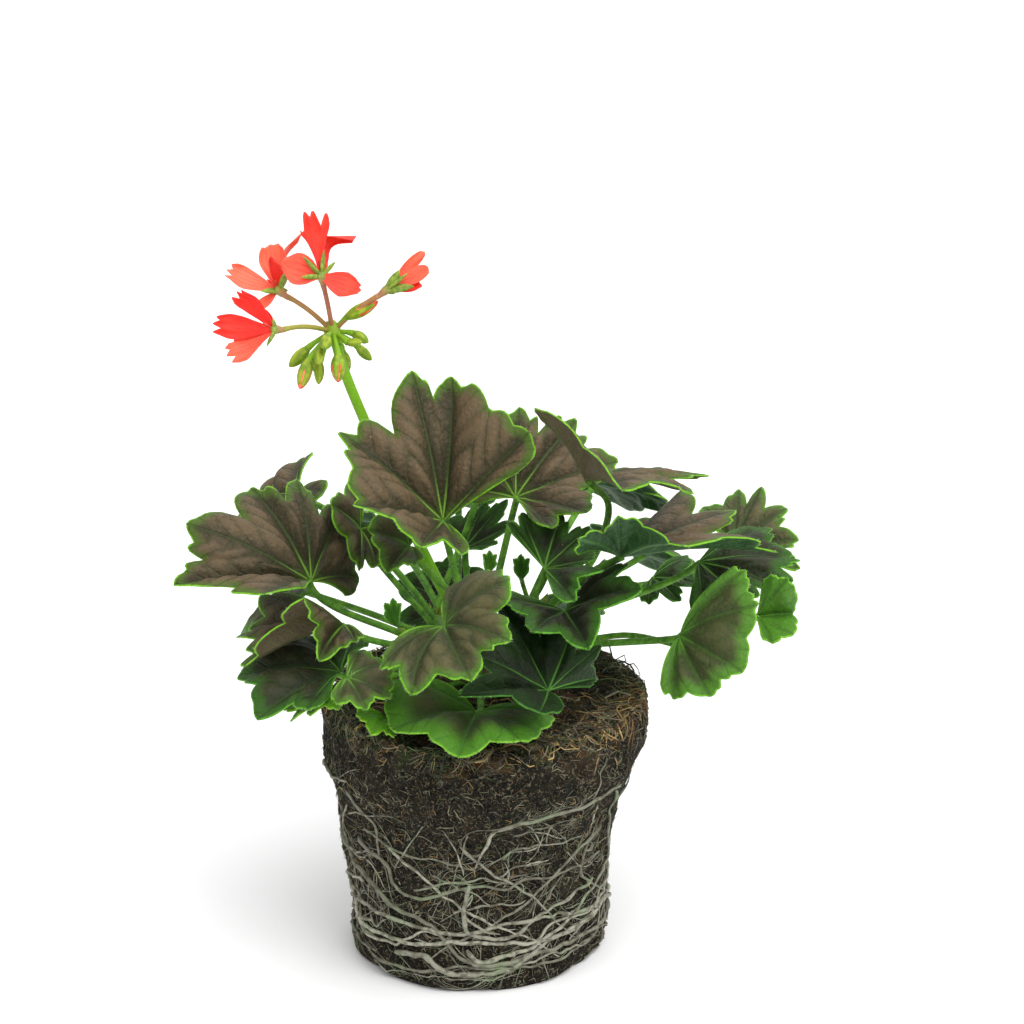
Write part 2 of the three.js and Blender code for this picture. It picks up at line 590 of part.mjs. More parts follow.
// One petal from a bloom's heart to its tip: a narrow claw that widens to three teeth, bent back by a share of
// its length, its inner face turned to a given way
function petal(heart, tip, width, curl, facing) {
  const length = tip.length();
  const along = tip.clone().normalize();
  const inner = facing.clone().addScaledVector(along, -facing.dot(along)).normalize();
  const side = inner.clone().cross(along);
  const rows = [[0, 0.16], [0.4, 0.5], [0.78, 1], [1, 0.8]];
  const teeth = [-0.05, -0.09, 0, -0.09, -0.05];
  const vertices = [];
  rows.forEach(([t, wide], i) => {
    for (let j = 0; j < 5; j++) {
      const v = (j - 2) / 2;
      const far = t + (i === rows.length - 1 ? teeth[j] : 0);
      const lift = curl * length * Math.sin(Math.PI * t) - 0.05 * width * v * v * wide;
      const place = heart.clone().addScaledVector(along, far * length).addScaledVector(side, (v * wide * width) / 2);
      vertices.push(place.addScaledVector(inner, -lift));
    }
  });
  const triangles = [];
  for (let i = 0; i < rows.length - 1; i++) {
    for (let j = 0; j < 4; j++) {
      const a = 5 * i + j;
      triangles.push([a, a + 6, a + 1], [a, a + 5, a + 6]);
    }
  }
  const border = [];
  for (let i = 0; i < rows.length; i++) border.push(5 * i);
  for (let j = 1; j < 5; j++) border.push(5 * (rows.length - 1) + j);
  for (let i = rows.length - 2; i >= 0; i--) border.push(5 * i + 4);
  for (let j = 3; j > 0; j--) border.push(j);
  return sheet(vertices, vertices.map(() => inner), triangles, border, PETAL_THICKNESS);
}

// A bloom: its petals joined to a small calyx that stands just clear of the pedicel's end
function bloom(place, petals) {
  const heart = vector(place);
  const away = heart.clone().sub(vector(HEAD)).normalize();
  const foot = heart.clone().addScaledVector(away, GAP - CALYX_LENGTH);
  const solids = [turned(foot, heart.clone().addScaledVector(away, 1.5), 1.5, [[0, 0.5], [0.6, 1], [1, 0.5]], 5)];
  for (const [tip, width, curl, facing] of petals) solids.push(petal(heart, seen(tip), width, curl, seen(facing)));
  return union(solids);
}

const group = new THREE.Group();
const MATERIALS = {
  peat: new THREE.MeshStandardMaterial({ color: 0x3a2d20, roughness: 0.95, metalness: 0 }),
  root: new THREE.MeshStandardMaterial({ color: 0xb9ad8c, roughness: 0.7, metalness: 0 }),
  stem: new THREE.MeshStandardMaterial({ color: 0x5f8a35, roughness: 0.6, metalness: 0 }),
  leaf: new THREE.MeshStandardMaterial({ color: 0x5a4d3a, roughness: 0.65, metalness: 0 }),
  petal: new THREE.MeshStandardMaterial({ color: 0xf6442c, roughness: 0.55, metalness: 0 }),
};

function add(name, solid, material) {
  const mesh = new THREE.Mesh(geometryOf(solid), MATERIALS[material]);
  mesh.name = name;
  group.add(mesh);
}

const grownStem = stem(GAP);
add("root_ball", rootBall(grownStem), "peat");
add("root_net", rootNet(), "root");
add("stem", stem(), "stem");
add("flower_stalk", flowerHead().subtract(grownStem), "stem");
for (const [name, [place, petals]] of Object.entries(BLOOMS)) add(name, bloom(place, petals), "petal");

const leaves = [];
for (const [name, [place, lobes, ...form]] of Object.entries(FRONT_LEAVES)) {
  const longest = Math.max(...lobes.map((lobe) => Math.hypot(...lobe)));
  const steps = longest < SMALL_LEAF ? PLAIN_STEPS : TOOTHED_STEPS;
  leaves.push([name, leafForm(leaves.length, steps, place, lobes.map(seen), ...form)]);
}
for (const [name, [place, bearing, height, heading, length, rise, ...form]] of Object.entries(BACK_LEAVES)) {
  const lobes = evenLobes(bearing, height, heading, length, rise);
  leaves.push([name, leafForm(leaves.length, PLAIN_STEPS, place, lobes, ...form)]);
}
for (const [name, leaf] of leaves) add(name, blade(leaf).add(leafStalk(leaf)).subtract(grownStem), "leaf");

export default group;
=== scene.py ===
"""A zonal geranium lifted out of its pot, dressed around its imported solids.

The sizes below are in millimetres, as on the part, and become metres when a mesh is made. Each finer piece
follows the same curves and formulas as the solid that it stands for, with relief, teeth, hairs and roots
added. The front of the plant faces -Y.
"""

import logging
import math
from dataclasses import dataclass, field, replace
from enum import Enum
from typing import Iterable

import bpy
import numpy as np
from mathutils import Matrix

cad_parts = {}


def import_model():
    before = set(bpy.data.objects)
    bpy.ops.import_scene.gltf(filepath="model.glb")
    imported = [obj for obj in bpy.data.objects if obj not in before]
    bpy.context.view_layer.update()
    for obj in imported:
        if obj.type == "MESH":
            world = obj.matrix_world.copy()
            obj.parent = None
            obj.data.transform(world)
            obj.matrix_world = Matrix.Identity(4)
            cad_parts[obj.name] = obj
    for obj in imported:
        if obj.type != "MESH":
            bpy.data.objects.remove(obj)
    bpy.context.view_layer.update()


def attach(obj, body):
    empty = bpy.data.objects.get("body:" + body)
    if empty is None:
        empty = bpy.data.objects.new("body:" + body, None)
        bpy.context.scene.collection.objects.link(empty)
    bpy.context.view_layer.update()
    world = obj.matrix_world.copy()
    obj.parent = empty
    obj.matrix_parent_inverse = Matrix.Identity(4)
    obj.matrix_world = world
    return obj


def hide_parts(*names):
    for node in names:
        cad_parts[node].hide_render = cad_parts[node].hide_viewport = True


Array = np.ndarray
Colour = tuple[float, float, float]
Socket = bpy.types.NodeSocket
Material = bpy.types.Material
Piece = bpy.types.Object

LOG = logging.getLogger("geranium")
MM = 0.001
TURN = 2 * np.pi
DEGREE = np.pi / 180
UP = np.array([0.0, 0.0, 1.0])


def unit(vectors: Array) -> Array:
    """Returns the vectors along the last axis, scaled to length 1."""
    return vectors / np.maximum(np.linalg.norm(vectors, axis=-1, keepdims=True), 1e-9)


def draw(number: Array | int) -> Array:
    """Returns a repeatable value from 0 to 1 for each whole number: the fraction of a large sine."""
    value = np.sin(np.asarray(number) * 12.9898 + 78.233) * 43758.5453
    return value - np.floor(value)


def ease(low: float, high: float, value: Array) -> Array:
    """Returns 0 below low and 1 above high, with a smooth cubic rise in between."""
    t = np.clip((value - low) / (high - low), 0, 1)
    return t * t * (3 - 2 * t)


def around(count: int) -> Array:
    """Returns that many angles, spread evenly over a turn, in radians."""
    return np.arange(count) * TURN / count


def level(angle: Array) -> Array:
    """Returns the level unit vectors at bearings in radians."""
    return np.stack([np.cos(angle), np.sin(angle), 0 * angle], -1)


def grid_normals(points: Array) -> Array:
    """Returns the unit normals of a grid of points: the cross products of its slopes both ways."""
    return unit(np.cross(np.gradient(points, axis=0), np.gradient(points, axis=1)))


def noise(points: Array, size: float, seed: int) -> Array:
    """Works out smooth random values in space: draws at a cubic lattice's corners, with cubic weights.

    Args:
        points: places, with x, y and z along the last axis.
        size: the lattice's spacing in the same unit.
        seed: a whole number that gives another pattern.

    Returns:
        Values from -1 to 1, one a place.
    """
    place = points / size + 31.7 * seed
    cell = np.floor(place)
    part = place - cell
    part = part * part * (3 - 2 * part)
    total = np.zeros(points.shape[:-1])
    for corner in range(8):
        step = np.array([corner & 1, corner >> 1 & 1, corner >> 2 & 1])
        weight = np.prod(np.where(step == 1, part, 1 - part), axis=-1)
        value = np.sin((cell + step) @ np.array([12.9898, 78.233, 37.719])) * 43758.5453
        total += weight * (value - np.floor(value))
    return 2 * total - 1


def line_noise(place: Array, seed: int) -> Array:
    """Returns that noise along a line, at places in units of its lattice."""
    return noise(np.stack([place, 0 * place, 0 * place], -1), 1, seed)


def bezier(controls: Iterable[Array], count: int) -> Array:
    """Follows a Bezier curve: the controls weighted by Bernstein's polynomials.

    Args:
        controls: the curve's control points.
        count: how many points to give.

    Returns:
        The points, evenly spaced in the curve's parameter.
    """
    controls = np.array(list(controls))
    order = len(controls) - 1
    t = np.linspace(0, 1, count)
    weights = [math.comb(order, k) * (1 - t) ** (order - k) * t**k for k in range(order + 1)]
    return np.stack(weights, axis=-1) @ controls


def spline(places: Array, count: int) -> Array:
    """Draws a smooth curve through places: cubic pieces whose slopes weigh each step by its root length.

    Args:
        places: the places that it passes, one a row.
        count: how many points to return.

    Returns:
        The points, evenly spread over the places.
    """
    ends = [2 * places[0] - places[1], 2 * places[-1] - places[-2]]
    p = np.vstack([ends[0], places, ends[1]])
    step = np.sqrt(np.linalg.norm(np.diff(p, axis=0), axis=1))[:, None]
    at = np.linspace(0, len(places) - 1, count)
    i = np.minimum(at.astype(int), len(places) - 2)
    w = (at - i)[:, None]
    d0, d1, d2 = step[i], step[i + 1], step[i + 2]
    a, b, c, d = p[i], p[i + 1], p[i + 2], p[i + 3]
    leave = ((b - a) / d0 - (c - a) / (d0 + d1) + (c - b) / d1) * d1
    arrive = ((c - b) / d1 - (d - b) / (d1 + d2) + (d - c) / d2) * d1
    square, cube = w**2, w**3
    return (
        (2 * cube - 3 * square + 1) * b
        + (cube - 2 * square + w) * leave
        + (3 * square - 2 * cube) * c
        + (cube - square) * arrive
    )


def evenly(points: Array, count: int) -> Array:
    """Spreads points evenly by length along the line through others.

    Args:
        points: the line's points.
        count: how many points to give.

    Returns:
        The points, from the line's start to its end.
    """
    steps = np.linalg.norm(np.diff(points, axis=0), axis=1)
    way = np.concatenate([[0], np.cumsum(steps)])
    wanted = np.linspace(0, way[-1], count)
    return np.stack([np.interp(wanted, way, points[:, k]) for k in range(3)], axis=-1)


def fill(values: Array | float, shape: tuple[int, int, int]) -> Array:
    """Spreads values over rods, steps and sides: one for all, one a rod, one a step, or one a point."""
    values = np.asarray(values, float)
    return np.broadcast_to(values.reshape(values.shape + (1,) * (3 - values.ndim)), shape)


def tube_faces(rings: int, sides: int) -> list[Array]:
    """Joins rings of points into a closed tube.

    Args:
        rings: how many rings there are, one after another.
        sides: how many points each has.

    Returns:
        Its wall's faces, and those of its ends, whose two middle points follow the rings' points.
    """
    count = rings * sides
    index = np.arange(count).reshape(rings, sides)
    after = np.roll(index, -1, axis=1)
    wall = np.stack([index[:-1], after[:-1], after[1:], index[1:]], -1).reshape(-1, 4)
    start = np.stack([np.full(sides, count), after[0], index[0]], -1)
    end = np.stack([np.full(sides, count + 1), index[-1], after[-1]], -1)
    return [wall, np.vstack([start, end])]


class Shell:
    """Gathers patches of points and faces, with values carried at their points, into one mesh."""

    def __init__(self) -> None:
        """Starts with no points and no faces."""
        self.points: list[Array] = []
        self.faces: list[tuple[Array, int]] = []
        self.marks: list[dict[str, float | Array]] = []
        self.count = 0

    def add(self, points: Array, faces: list[Array], finish: int = 0, **marks: float | Array) -> None:
        """Adds a patch.

        Args:
            points: its points, one a row.
            faces: arrays of corner numbers, three or four a row, counted from the patch's first point.
            finish: the number of its material.
            marks: named values, one for the whole patch or one a point.
        """
        self.points.append(points)
        self.faces += [(patch + self.count, finish) for patch in faces]
        self.marks.append(marks)
        self.count += len(points)

    def sheet(self, top: Array, normals: Array, centre: Array, depth: float, **marks: float | Array) -> None:
        """Adds a closed thin sheet: a grid fanned from one centre point, its copy one depth below, and a rim.

        Args:
            top: the upper face's points, in rows outward from the centre.
            normals: the upper face's normals at those points.
            centre: the point that the first row fans from, and its normal, as two rows.
            depth: the thickness.
            marks: named values on the grid, with the centre's taken from the first row.
        """
        rows, columns = top.shape[:2]
        upper = np.vstack([centre[:1], top.reshape(-1, 3)])
        down = np.vstack([centre[1:], normals.reshape(-1, 3)])
        count = len(upper)
        index = 1 + np.arange(rows * columns).reshape(rows, columns)
        quads = np.stack([index[:-1, :-1], index[1:, :-1], index[1:, 1:], index[:-1, 1:]], -1).reshape(-1, 4)
        first = index[0]
        fan = np.stack([np.zeros(columns - 1, int), first[:-1], first[1:]], -1)
        border = np.concatenate([[0], index[:, 0], index[-1, 1:-1], index[::-1, -1]])
        after = np.roll(border, -1)
        rim = np.stack([border, border + count, after + count, after], -1)
        faces = [quads, fan, quads[:, ::-1] + count, fan[:, ::-1] + count, rim]
        values = {"under": np.repeat([0.0, 1.0], count)}
        for name, value in marks.items():
            flat = np.broadcast_to(value, top.shape[:2]).reshape(-1)
            values[name] = np.tile(np.concatenate([[flat[:columns].mean()], flat]), 2)
        self.add(np.vstack([upper, upper - depth * down]), faces, **values)

    def rods(
        self, paths: Array, radii: Array | list, sides: int, finish: int = 0, **marks: float | Array
    ) -> None:
        """Adds closed rods: rings about each path, across its tangent, at that point's radius.

        The rings are turned from the direction that the tangents of a path least follow, so they don't twist.

        Args:
            paths: points along each rod, as rods by steps by 3, or those of one rod.
            radii: the radius at each of them, spread as fill does.
            sides: how many points a ring has.
            finish: the number of its material.
            marks: named values, spread as fill does.
        """
        paths = paths.reshape(-1, *paths.shape[-2:])
        number, steps = paths.shape[:2]
        shape = (number, steps, sides)
        tangent = unit(np.gradient(paths, axis=1))
        least = np.linalg.eigh(np.einsum("tsi,tsj->tij", tangent, tangent))[1][:, :, 0]
        side = unit(np.cross(least[:, None], tangent))
        up = np.cross(tangent, side)
        angle = around(sides)[:, None]
        ring = side[:, :, None] * np.cos(angle) + up[:, :, None] * np.sin(angle)
        body = (paths[:, :, None] + ring * fill(radii, shape)[..., None]).reshape(number, -1, 3)
        points = np.concatenate([body, paths[:, :1], paths[:, -1:]], axis=1)
        base = (np.arange(number) * points.shape[1])[:, None, None]
        faces = [(patch + base).reshape(-1, patch.shape[1]) for patch in tube_faces(steps, sides)]
        values = {}
        for name, value in marks.items():
            ringed = fill(value, shape)
            ends = ringed[:, [0, -1]].mean(axis=2)
            values[name] = np.concatenate([ringed.reshape(number, -1), ends], axis=1).reshape(-1)
        self.add(points.reshape(-1, 3), faces, finish, **values)

    def build(self, name: str, materials: list[Material], slot: str, node: str = "") -> Piece:
        """Makes the mesh and its object, which rides the part's only body.

        Args:
            name: the piece's name.
            materials: its materials, in the order that finish numbers count.
            slot: the slot of its colour; not used.
            node: the part's node that it stands for, if it does for one.

        Returns:
            The object, at the origin and in the scene.
        """
        points = np.vstack(self.points) * MM
        corners = np.concatenate([faces.reshape(-1) for faces, _ in self.faces])
        sizes = np.concatenate([np.full(len(faces), faces.shape[1]) for faces, _ in self.faces])
        finishes = np.concatenate([np.full(len(faces), finish) for faces, finish in self.faces])
        starts = np.cumsum(sizes) - sizes
        mesh = bpy.data.meshes.new(name)
        mesh.vertices.add(len(points))
        mesh.vertices.foreach_set("co", points.astype(np.float32).reshape(-1))
        mesh.loops.add(len(corners))
        mesh.loops.foreach_set("vertex_index", corners.astype(np.int32))
        mesh.polygons.add(len(sizes))
        mesh.polygons.foreach_set("loop_start", starts.astype(np.int32))
        mesh.polygons.foreach_set("material_index", finishes.astype(np.int32))
        for key in sorted({key for marks in self.marks for key in marks}):
            parts = zip(self.marks, self.points)
            values = [np.broadcast_to(marks.get(key, 0.0), len(patch)) for marks, patch in parts]
            data = mesh.attributes.new(key, "FLOAT", "POINT").data
            data.foreach_set("value", np.concatenate(values).astype(np.float32))
        mesh.update(calc_edges=True)
        mesh.validate()
        mesh.shade_smooth()
        for material in materials:
            mesh.materials.append(material)
        piece = bpy.data.objects.new(name, mesh)
        bpy.context.scene.collection.objects.link(piece)
        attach(piece, "root")
        if node:
            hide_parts(node)
        return piece


class Value:
    """A number or colour in a material. Arithmetic on it places Math nodes."""

    def __init__(self, finish: "Finish", socket: Socket) -> None:
        """Keeps the material and the socket that gives the value."""
        self.finish = finish
        self.socket = socket

    def __add__(self, other: "Given") -> "Value":
        """Returns the sum of the two."""
        return self.finish.math("ADD", self, other)

    def __sub__(self, other: "Given") -> "Value":
        """Returns this less the other."""
        return self.finish.math("SUBTRACT", self, other)

    def __rsub__(self, other: "Given") -> "Value":
        """Returns the other less this."""
        return self.finish.math("SUBTRACT", other, self)

    def __mul__(self, other: "Given") -> "Value":
        """Returns the product of the two."""
        return self.finish.math("MULTIPLY", self, other)

    def __abs__(self) -> "Value":
        """Returns the value without its sign."""
        return self.finish.math("ABSOLUTE", self)

    __rmul__ = __mul__


Given = Value | float | Colour


class Finish:
    """One procedural material: short ways to place its nodes, which read object places and carried values."""

    def __init__(self, name: str) -> None:
        """Starts a material of that name with a plain Principled shader.

        Args:
            name: the material's name.
        """
        self.material = bpy.data.materials.new(name)
        self.material.use_nodes = True
        self.tree = self.material.node_tree
        self.shader = self.tree.nodes["Principled BSDF"]
        self.place = self.node("TexCoord", "Object", {})
        self.relief: dict[str, Given] = {}

    def put(self, socket: Socket, value: Given) -> None:
        """Links a value to a socket, or sets the socket to a plain number or colour.

        Args:
            socket: the socket to feed.
            value: a value, a plain number or a colour.
        """
        if isinstance(value, Value):
            self.tree.links.new(value.socket, socket)
        elif isinstance(value, tuple):
            socket.default_value = (*value, 1) if len(socket.default_value) == 4 else value
        else:
            socket.default_value = value

    def node(self, kind: str, output: str | int, inputs: dict[str | int, Given], **settings: str) -> Value:
        """Places a node.

        Args:
            kind: its type, without ShaderNode before it.
            output: the name or number of the output to return.
            inputs: what goes into its inputs, by name or number.
            settings: its own properties.

        Returns:
            The value of that output.
        """
        node = self.tree.nodes.new("ShaderNode" + kind)
        for name, setting in settings.items():
            setattr(node, name, setting)
        for name, value in inputs.items():
            self.put(node.inputs[name], value)
        return Value(self, node.outputs[output])

    def set(self, **values: Given) -> None:
        """Sets or links inputs of the shader, with underscores for the spaces in their names."""
        for name, value in values.items():
            self.put(self.shader.inputs[name.replace("_", " ")], value)

    def mark(self, name: str) -> Value:
        """Returns the value that the mesh carries under a name."""
        return self.node("Attribute", "Fac", {}, attribute_name=name)

    def math(self, operation: str, *values: Given) -> Value:
        """Returns one operation of arithmetic on the values."""
        return self.node("Math", 0, dict(enumerate(values)), operation=operation)

    def most(self, first: Value, *others: Value) -> Value:
        """Returns the largest of the values."""
        for other in others:
            first = self.math("MAXIMUM", first, other)
        return first

    def rise(self, value: Value, low: Given, high: Given) -> Value:
        """Returns 0 below low and 1 above high, with a smooth rise in between."""
        inputs = {"Value": value, "From Min": low, "From Max": high}
        return self.node("MapRange", "Result", inputs, interpolation_type="SMOOTHSTEP")

    def grain(self, size: float, detail: float = 3, stretch: Colour | None = None) -> Value:
        """Returns a noise of about that size from 0 to 1, stretched along axes if asked."""
        place = self.node("Mapping", 0, {"Vector": self.place, "Scale": stretch}) if stretch else self.place
        return self.node("TexNoise", "Fac", {"Vector": place, "Scale": 1 / (size * MM), "Detail": detail})

    def cells(self, size: float, feature: str = "DISTANCE_TO_EDGE") -> Value:
        """Returns a Voronoi pattern's distance, with cells of about that size."""
        inputs = {"Vector": self.place, "Scale": 1 / (size * MM)}
        return self.node("TexVoronoi", "Distance", inputs, feature=feature)

    def threads(self, size: float, width: float) -> Value:
        """Returns thin wandering lines from 0 to 1, drawn where a noise of that size is near its middle."""
        return 1.0 - self.rise(abs(self.grain(size, 2) - 0.5), width * 0.3, width)

    def blend(self, share: Given, first: Given, second: Given) -> Value:
        """Returns the second colour mixed over the first by a share."""
        return self.node("Mix", 2, {0: share, 6: first, 7: second}, data_type="RGBA")

    def bump(self, height: Value, depth: float) -> None:
        """Raises the surface by a height of 0 to 1 times a depth, over any bump set before."""
        inputs = {"Height": height, "Distance": depth * MM, **self.relief}
        self.relief = {"Normal": self.node("Bump", "Normal", inputs)}
        self.set(**self.relief)


@dataclass(frozen=True)
class LeafFinish:
    """A leaf's colours: bronze in a green margin, dark green veins, a dull underside and a green stalk."""

    name: str
    bronze: Colour
    # the bronze in the folds, where it is painted shade, and in dark patches
    bronze_dark: Colour
    green: Colour
    margin: Colour
    vein: Colour
    line: Colour  # the pale line in a main vein, near the stalk
    rim: float  # width of the clear green margin, mm
    fade: float  # how far the bronze takes to fill in, mm
    strength: float  # how strong the bronze is where it is full
    tip: float  # how much wider the margin is at the lobes' ends, mm
    reach: float  # how far from the stalk the pale lines fade out, mm
    under: Colour = (0.027, 0.077, 0.024)
    under_vein: Colour = (0.08, 0.2, 0.052)
    speck: Colour = (0.36, 0.27, 0.14)
    stalk_dark: Colour = (0.055, 0.165, 0.018)
    stalk: Colour = (0.145, 0.35, 0.036)
    net_size: float = 2.2  # size of the cells between the veins, mm

    def make(self) -> Material:
        """Makes the material.

        The bronze fills in with the distance from the margin, less at a lobe's end, broken by noise. It is
        lighter where the carried value of the bulge between the veins is high: a painted highlight on the
        bulges and painted shade in the furrows. The veins are soft bands where the carried values beside and
        rib are near a whole rib, and a faint net of cells lies between them.

        Returns:
            The material.
        """
        f = Finish(self.name)
        along, beside, edge = f.mark("along"), f.mark("beside"), f.mark("edge")
        rib = abs(f.math("FRACT", f.mark("rib")) - 0.5)
        main = 1.0 - f.rise(beside, 0.1, 2.0 - 1.1 * f.rise(along, 2.0, 40.0))
        side = f.rise(rib, 0.36, 0.5) * f.rise(along, 5.0, 14.0)
        veins = f.most(main, side * (1.1 * f.grain(8) - 0.05))
        net = 1.0 - f.rise(f.cells(self.net_size), 0.02, 0.14)
        green = self.margin_green(f, edge, self.green)
        face = f.blend(self.bronze_share(f, edge, side), green, self.browns(f))
        face = f.blend(0.62 * f.most(veins, 0.2 * net), face, self.vein)
        face = f.blend(0.5 * (1.0 - f.rise(along, 1.5, 9.0)), face, self.green)
        thin = 0.42 - 0.25 * f.rise(along, 0.0, 30.0)
        pale = 1.0 - f.rise(beside, 0.3 * thin, thin)
        fading = 0.95 - 0.86 * f.rise(along, self.reach * 0.15, self.reach)
        face = f.blend(pale * fading, face, self.line)
        raised = f.most(1.0 - f.rise(beside, 0.3, 0.9), 0.8 * f.rise(rib, 0.44, 0.49), 0.3 * net)
        below = f.blend(0.75 * raised, self.margin_green(f, edge, self.under), self.under_vein)
        face = f.blend(f.mark("under"), face, below)
        specks = f.rise(f.cells(3.8, "F1"), 0.075, 0.04) * f.rise(f.grain(5.3), 0.58, 0.62)
        face = f.blend(0.6 * specks, face, self.speck)
        stalk = f.blend(f.rise(f.grain(4), 0.3, 0.7), self.stalk_dark, self.stalk)
        face = f.blend(f.mark("stalk"), face, stalk)
        f.set(Base_Color=face, Roughness=0.2 * f.grain(2) + 0.45)
        f.set(Subsurface_Weight=0.1, Subsurface_Scale=0.0012, Subsurface_Radius=(0.6, 1.0, 0.2))
        f.set(Sheen_Weight=0.02, Sheen_Roughness=0.45, Specular_IOR_Level=0.17)
        f.bump(1.0 - veins, 0.3)
        f.bump(f.rise(f.cells(self.net_size), 0.0, 0.4), 0.13)
        f.bump(f.grain(1.6), 0.2)
        f.bump(f.grain(0.6), 0.09)
        return f.material

    def margin_green(self, f: Finish, edge: Value, inner: Colour) -> Value:
        """Returns a colour that turns to the margin's within a millimetre of the edge."""
        return f.blend(f.rise(edge, 0.1, 0.8), self.margin, inner)

    def bronze_share(self, f: Finish, edge: Value, side: Value) -> Value:
        """Returns how much bronze there is, from the distance to the edge and the strength of side veins."""
        broken = 1.8 * f.grain(2.5) + 3.4 * f.grain(10) - 2.6
        inside = edge + broken - self.tip * f.mark("tip") - 0.9 * side
        return self.strength * f.rise(inside, self.rim, self.rim + self.fade)

    def browns(self, f: Finish) -> Value:
        """Returns the bronze: painted shade in the folds, a painted highlight on the bulges, and dark
        patches.
        """
        # the carried bulge value paints light on the bulges and shade in the folds; the grains are real
        # patches
        shading_and_patches = 0.5 * f.mark("bulge") + 0.5 * f.grain(1.4) + 0.5 * f.grain(13, 2) - 0.25
        return f.blend(f.rise(shading_and_patches, 0.2, 0.72), self.bronze_dark, self.bronze)


class LeafKind(Enum):
    """The colours that a leaf of this plant can have, two of them darker copies with painted shade."""

    BRONZE = LeafFinish(
        "leaf bronze", (0.125, 0.084, 0.047), (0.04, 0.031, 0.017), (0.066, 0.12, 0.016), (0.19, 0.48, 0.022),
        (0.026, 0.044, 0.01), (0.17, 0.34, 0.035), 0.35, 3.2, 0.97, 0.9, 17.0,
    )
    OLIVE = LeafFinish(
        "leaf olive", (0.095, 0.08, 0.036), (0.042, 0.04, 0.017), (0.068, 0.15, 0.017), (0.18, 0.46, 0.024),
        (0.032, 0.056, 0.013), (0.13, 0.27, 0.04), 0.3, 2.8, 0.94, 0.9, 9.0,
    )
    DUSKY = LeafFinish(
        "leaf dusky green", (0.06, 0.053, 0.022), (0.034, 0.04, 0.013), (0.07, 0.205, 0.015),
        (0.18, 0.46, 0.024), (0.038, 0.11, 0.014), (0.09, 0.22, 0.025), 2.8, 9.5, 0.88, 2.6, 14.0,
    )
    RUSSET = LeafFinish(
        "leaf russet", (0.066, 0.062, 0.026), (0.038, 0.042, 0.016), (0.07, 0.19, 0.018), (0.17, 0.45, 0.024),
        (0.042, 0.085, 0.016), (0.1, 0.25, 0.03), 1.2, 5.0, 0.92, 1.6, 12.0,
    )
    FOLDED = replace(
        BRONZE, name="leaf folded", under=(0.11, 0.085, 0.05), under_vein=(0.11, 0.14, 0.045)
    )
    # Painted shade: darker leaf colours for leaves that lie in the shade of others
    SHADED = LeafFinish(
        "leaf shaded", (0.034, 0.028, 0.015), (0.014, 0.015, 0.007), (0.032, 0.1, 0.01), (0.1, 0.33, 0.018),
        (0.019, 0.045, 0.009), (0.12, 0.29, 0.035), 0.7, 5.0, 0.92, 1.6, 22.0,
    )
    # Deep green, darkened further as painted shade for a leaf that lies under others at the front
    DEEP_SHADE = LeafFinish(
        "leaf deep green", (0.008, 0.012, 0.003), (0.004, 0.007, 0.002), (0.008, 0.027, 0.003),
        (0.045, 0.17, 0.014), (0.013, 0.034, 0.006), (0.07, 0.2, 0.025), 2.0, 8.0, 0.85, 2.0, 34.0,
    )
    GREEN = LeafFinish(
        "leaf bright green", (0.09, 0.17, 0.02), (0.05, 0.12, 0.014), (0.12, 0.36, 0.012), (0.26, 0.55, 0.03),
        (0.075, 0.2, 0.014), (0.15, 0.36, 0.03), 3.5, 6.0, 0.45, 3.0, 16.0,
    )
    YOUNG = LeafFinish(
        "leaf young", (0.06, 0.16, 0.02), (0.035, 0.105, 0.014), (0.085, 0.27, 0.02), (0.17, 0.44, 0.03),
        (0.03, 0.1, 0.014), (0.09, 0.24, 0.035), 1.0, 3.0, 0.6, 1.0, 4.0, (0.055, 0.17, 0.028),
    )


# The stem as the part has it: the radius of trunk and shoots, the crown, and the place of each shoot's tip
TRUNK_RADIUS = 5.2
SHOOT_RADIUS = 3.1
CROWN = np.array([0.0, 0.0, 99.0])
SHOOTS = np.array([[-21, -12, 119], [21, -10, 120], [-17, 19, 118], [20, 20, 119], [1, 2, 126]], float)
KNEE_DROP = 1.5
SHOOT_STEPS = 400  # how finely the place of a stalk on its shoot is counted

VIEW = 20 * DEGREE  # the height that the front leaves' lobes and the flowers are given from
LOBE_SPREAD = 112.5  # from the middle lobe to an outer one where the lobes are even, degrees
HAIR_RADII = [[0.055, 0.015]]  # a hair's radius at its foot and its tip
MARGIN_HAIR_RADII = [[0.05, 0.015]]


def shoot_curve(shoot: int, count: int) -> Array:
    """Returns points evenly along a shoot, from the crown over a low knee to its tip."""
    tip = SHOOTS[shoot]
    knee = (CROWN + tip) / 2 - KNEE_DROP * UP
    return evenly(bezier([CROWN, knee, tip], 200), count)


def seen(places: Array | list) -> Array:
    """Turns [across, up, out] as seen from the front and above into x, y and z."""
    across, up, out = np.moveaxis(np.asarray(places, float), -1, 0)
    s, c = math.sin(VIEW), math.cos(VIEW)
    return np.stack([across, up * s - out * c, up * c + out * s], axis=-1)


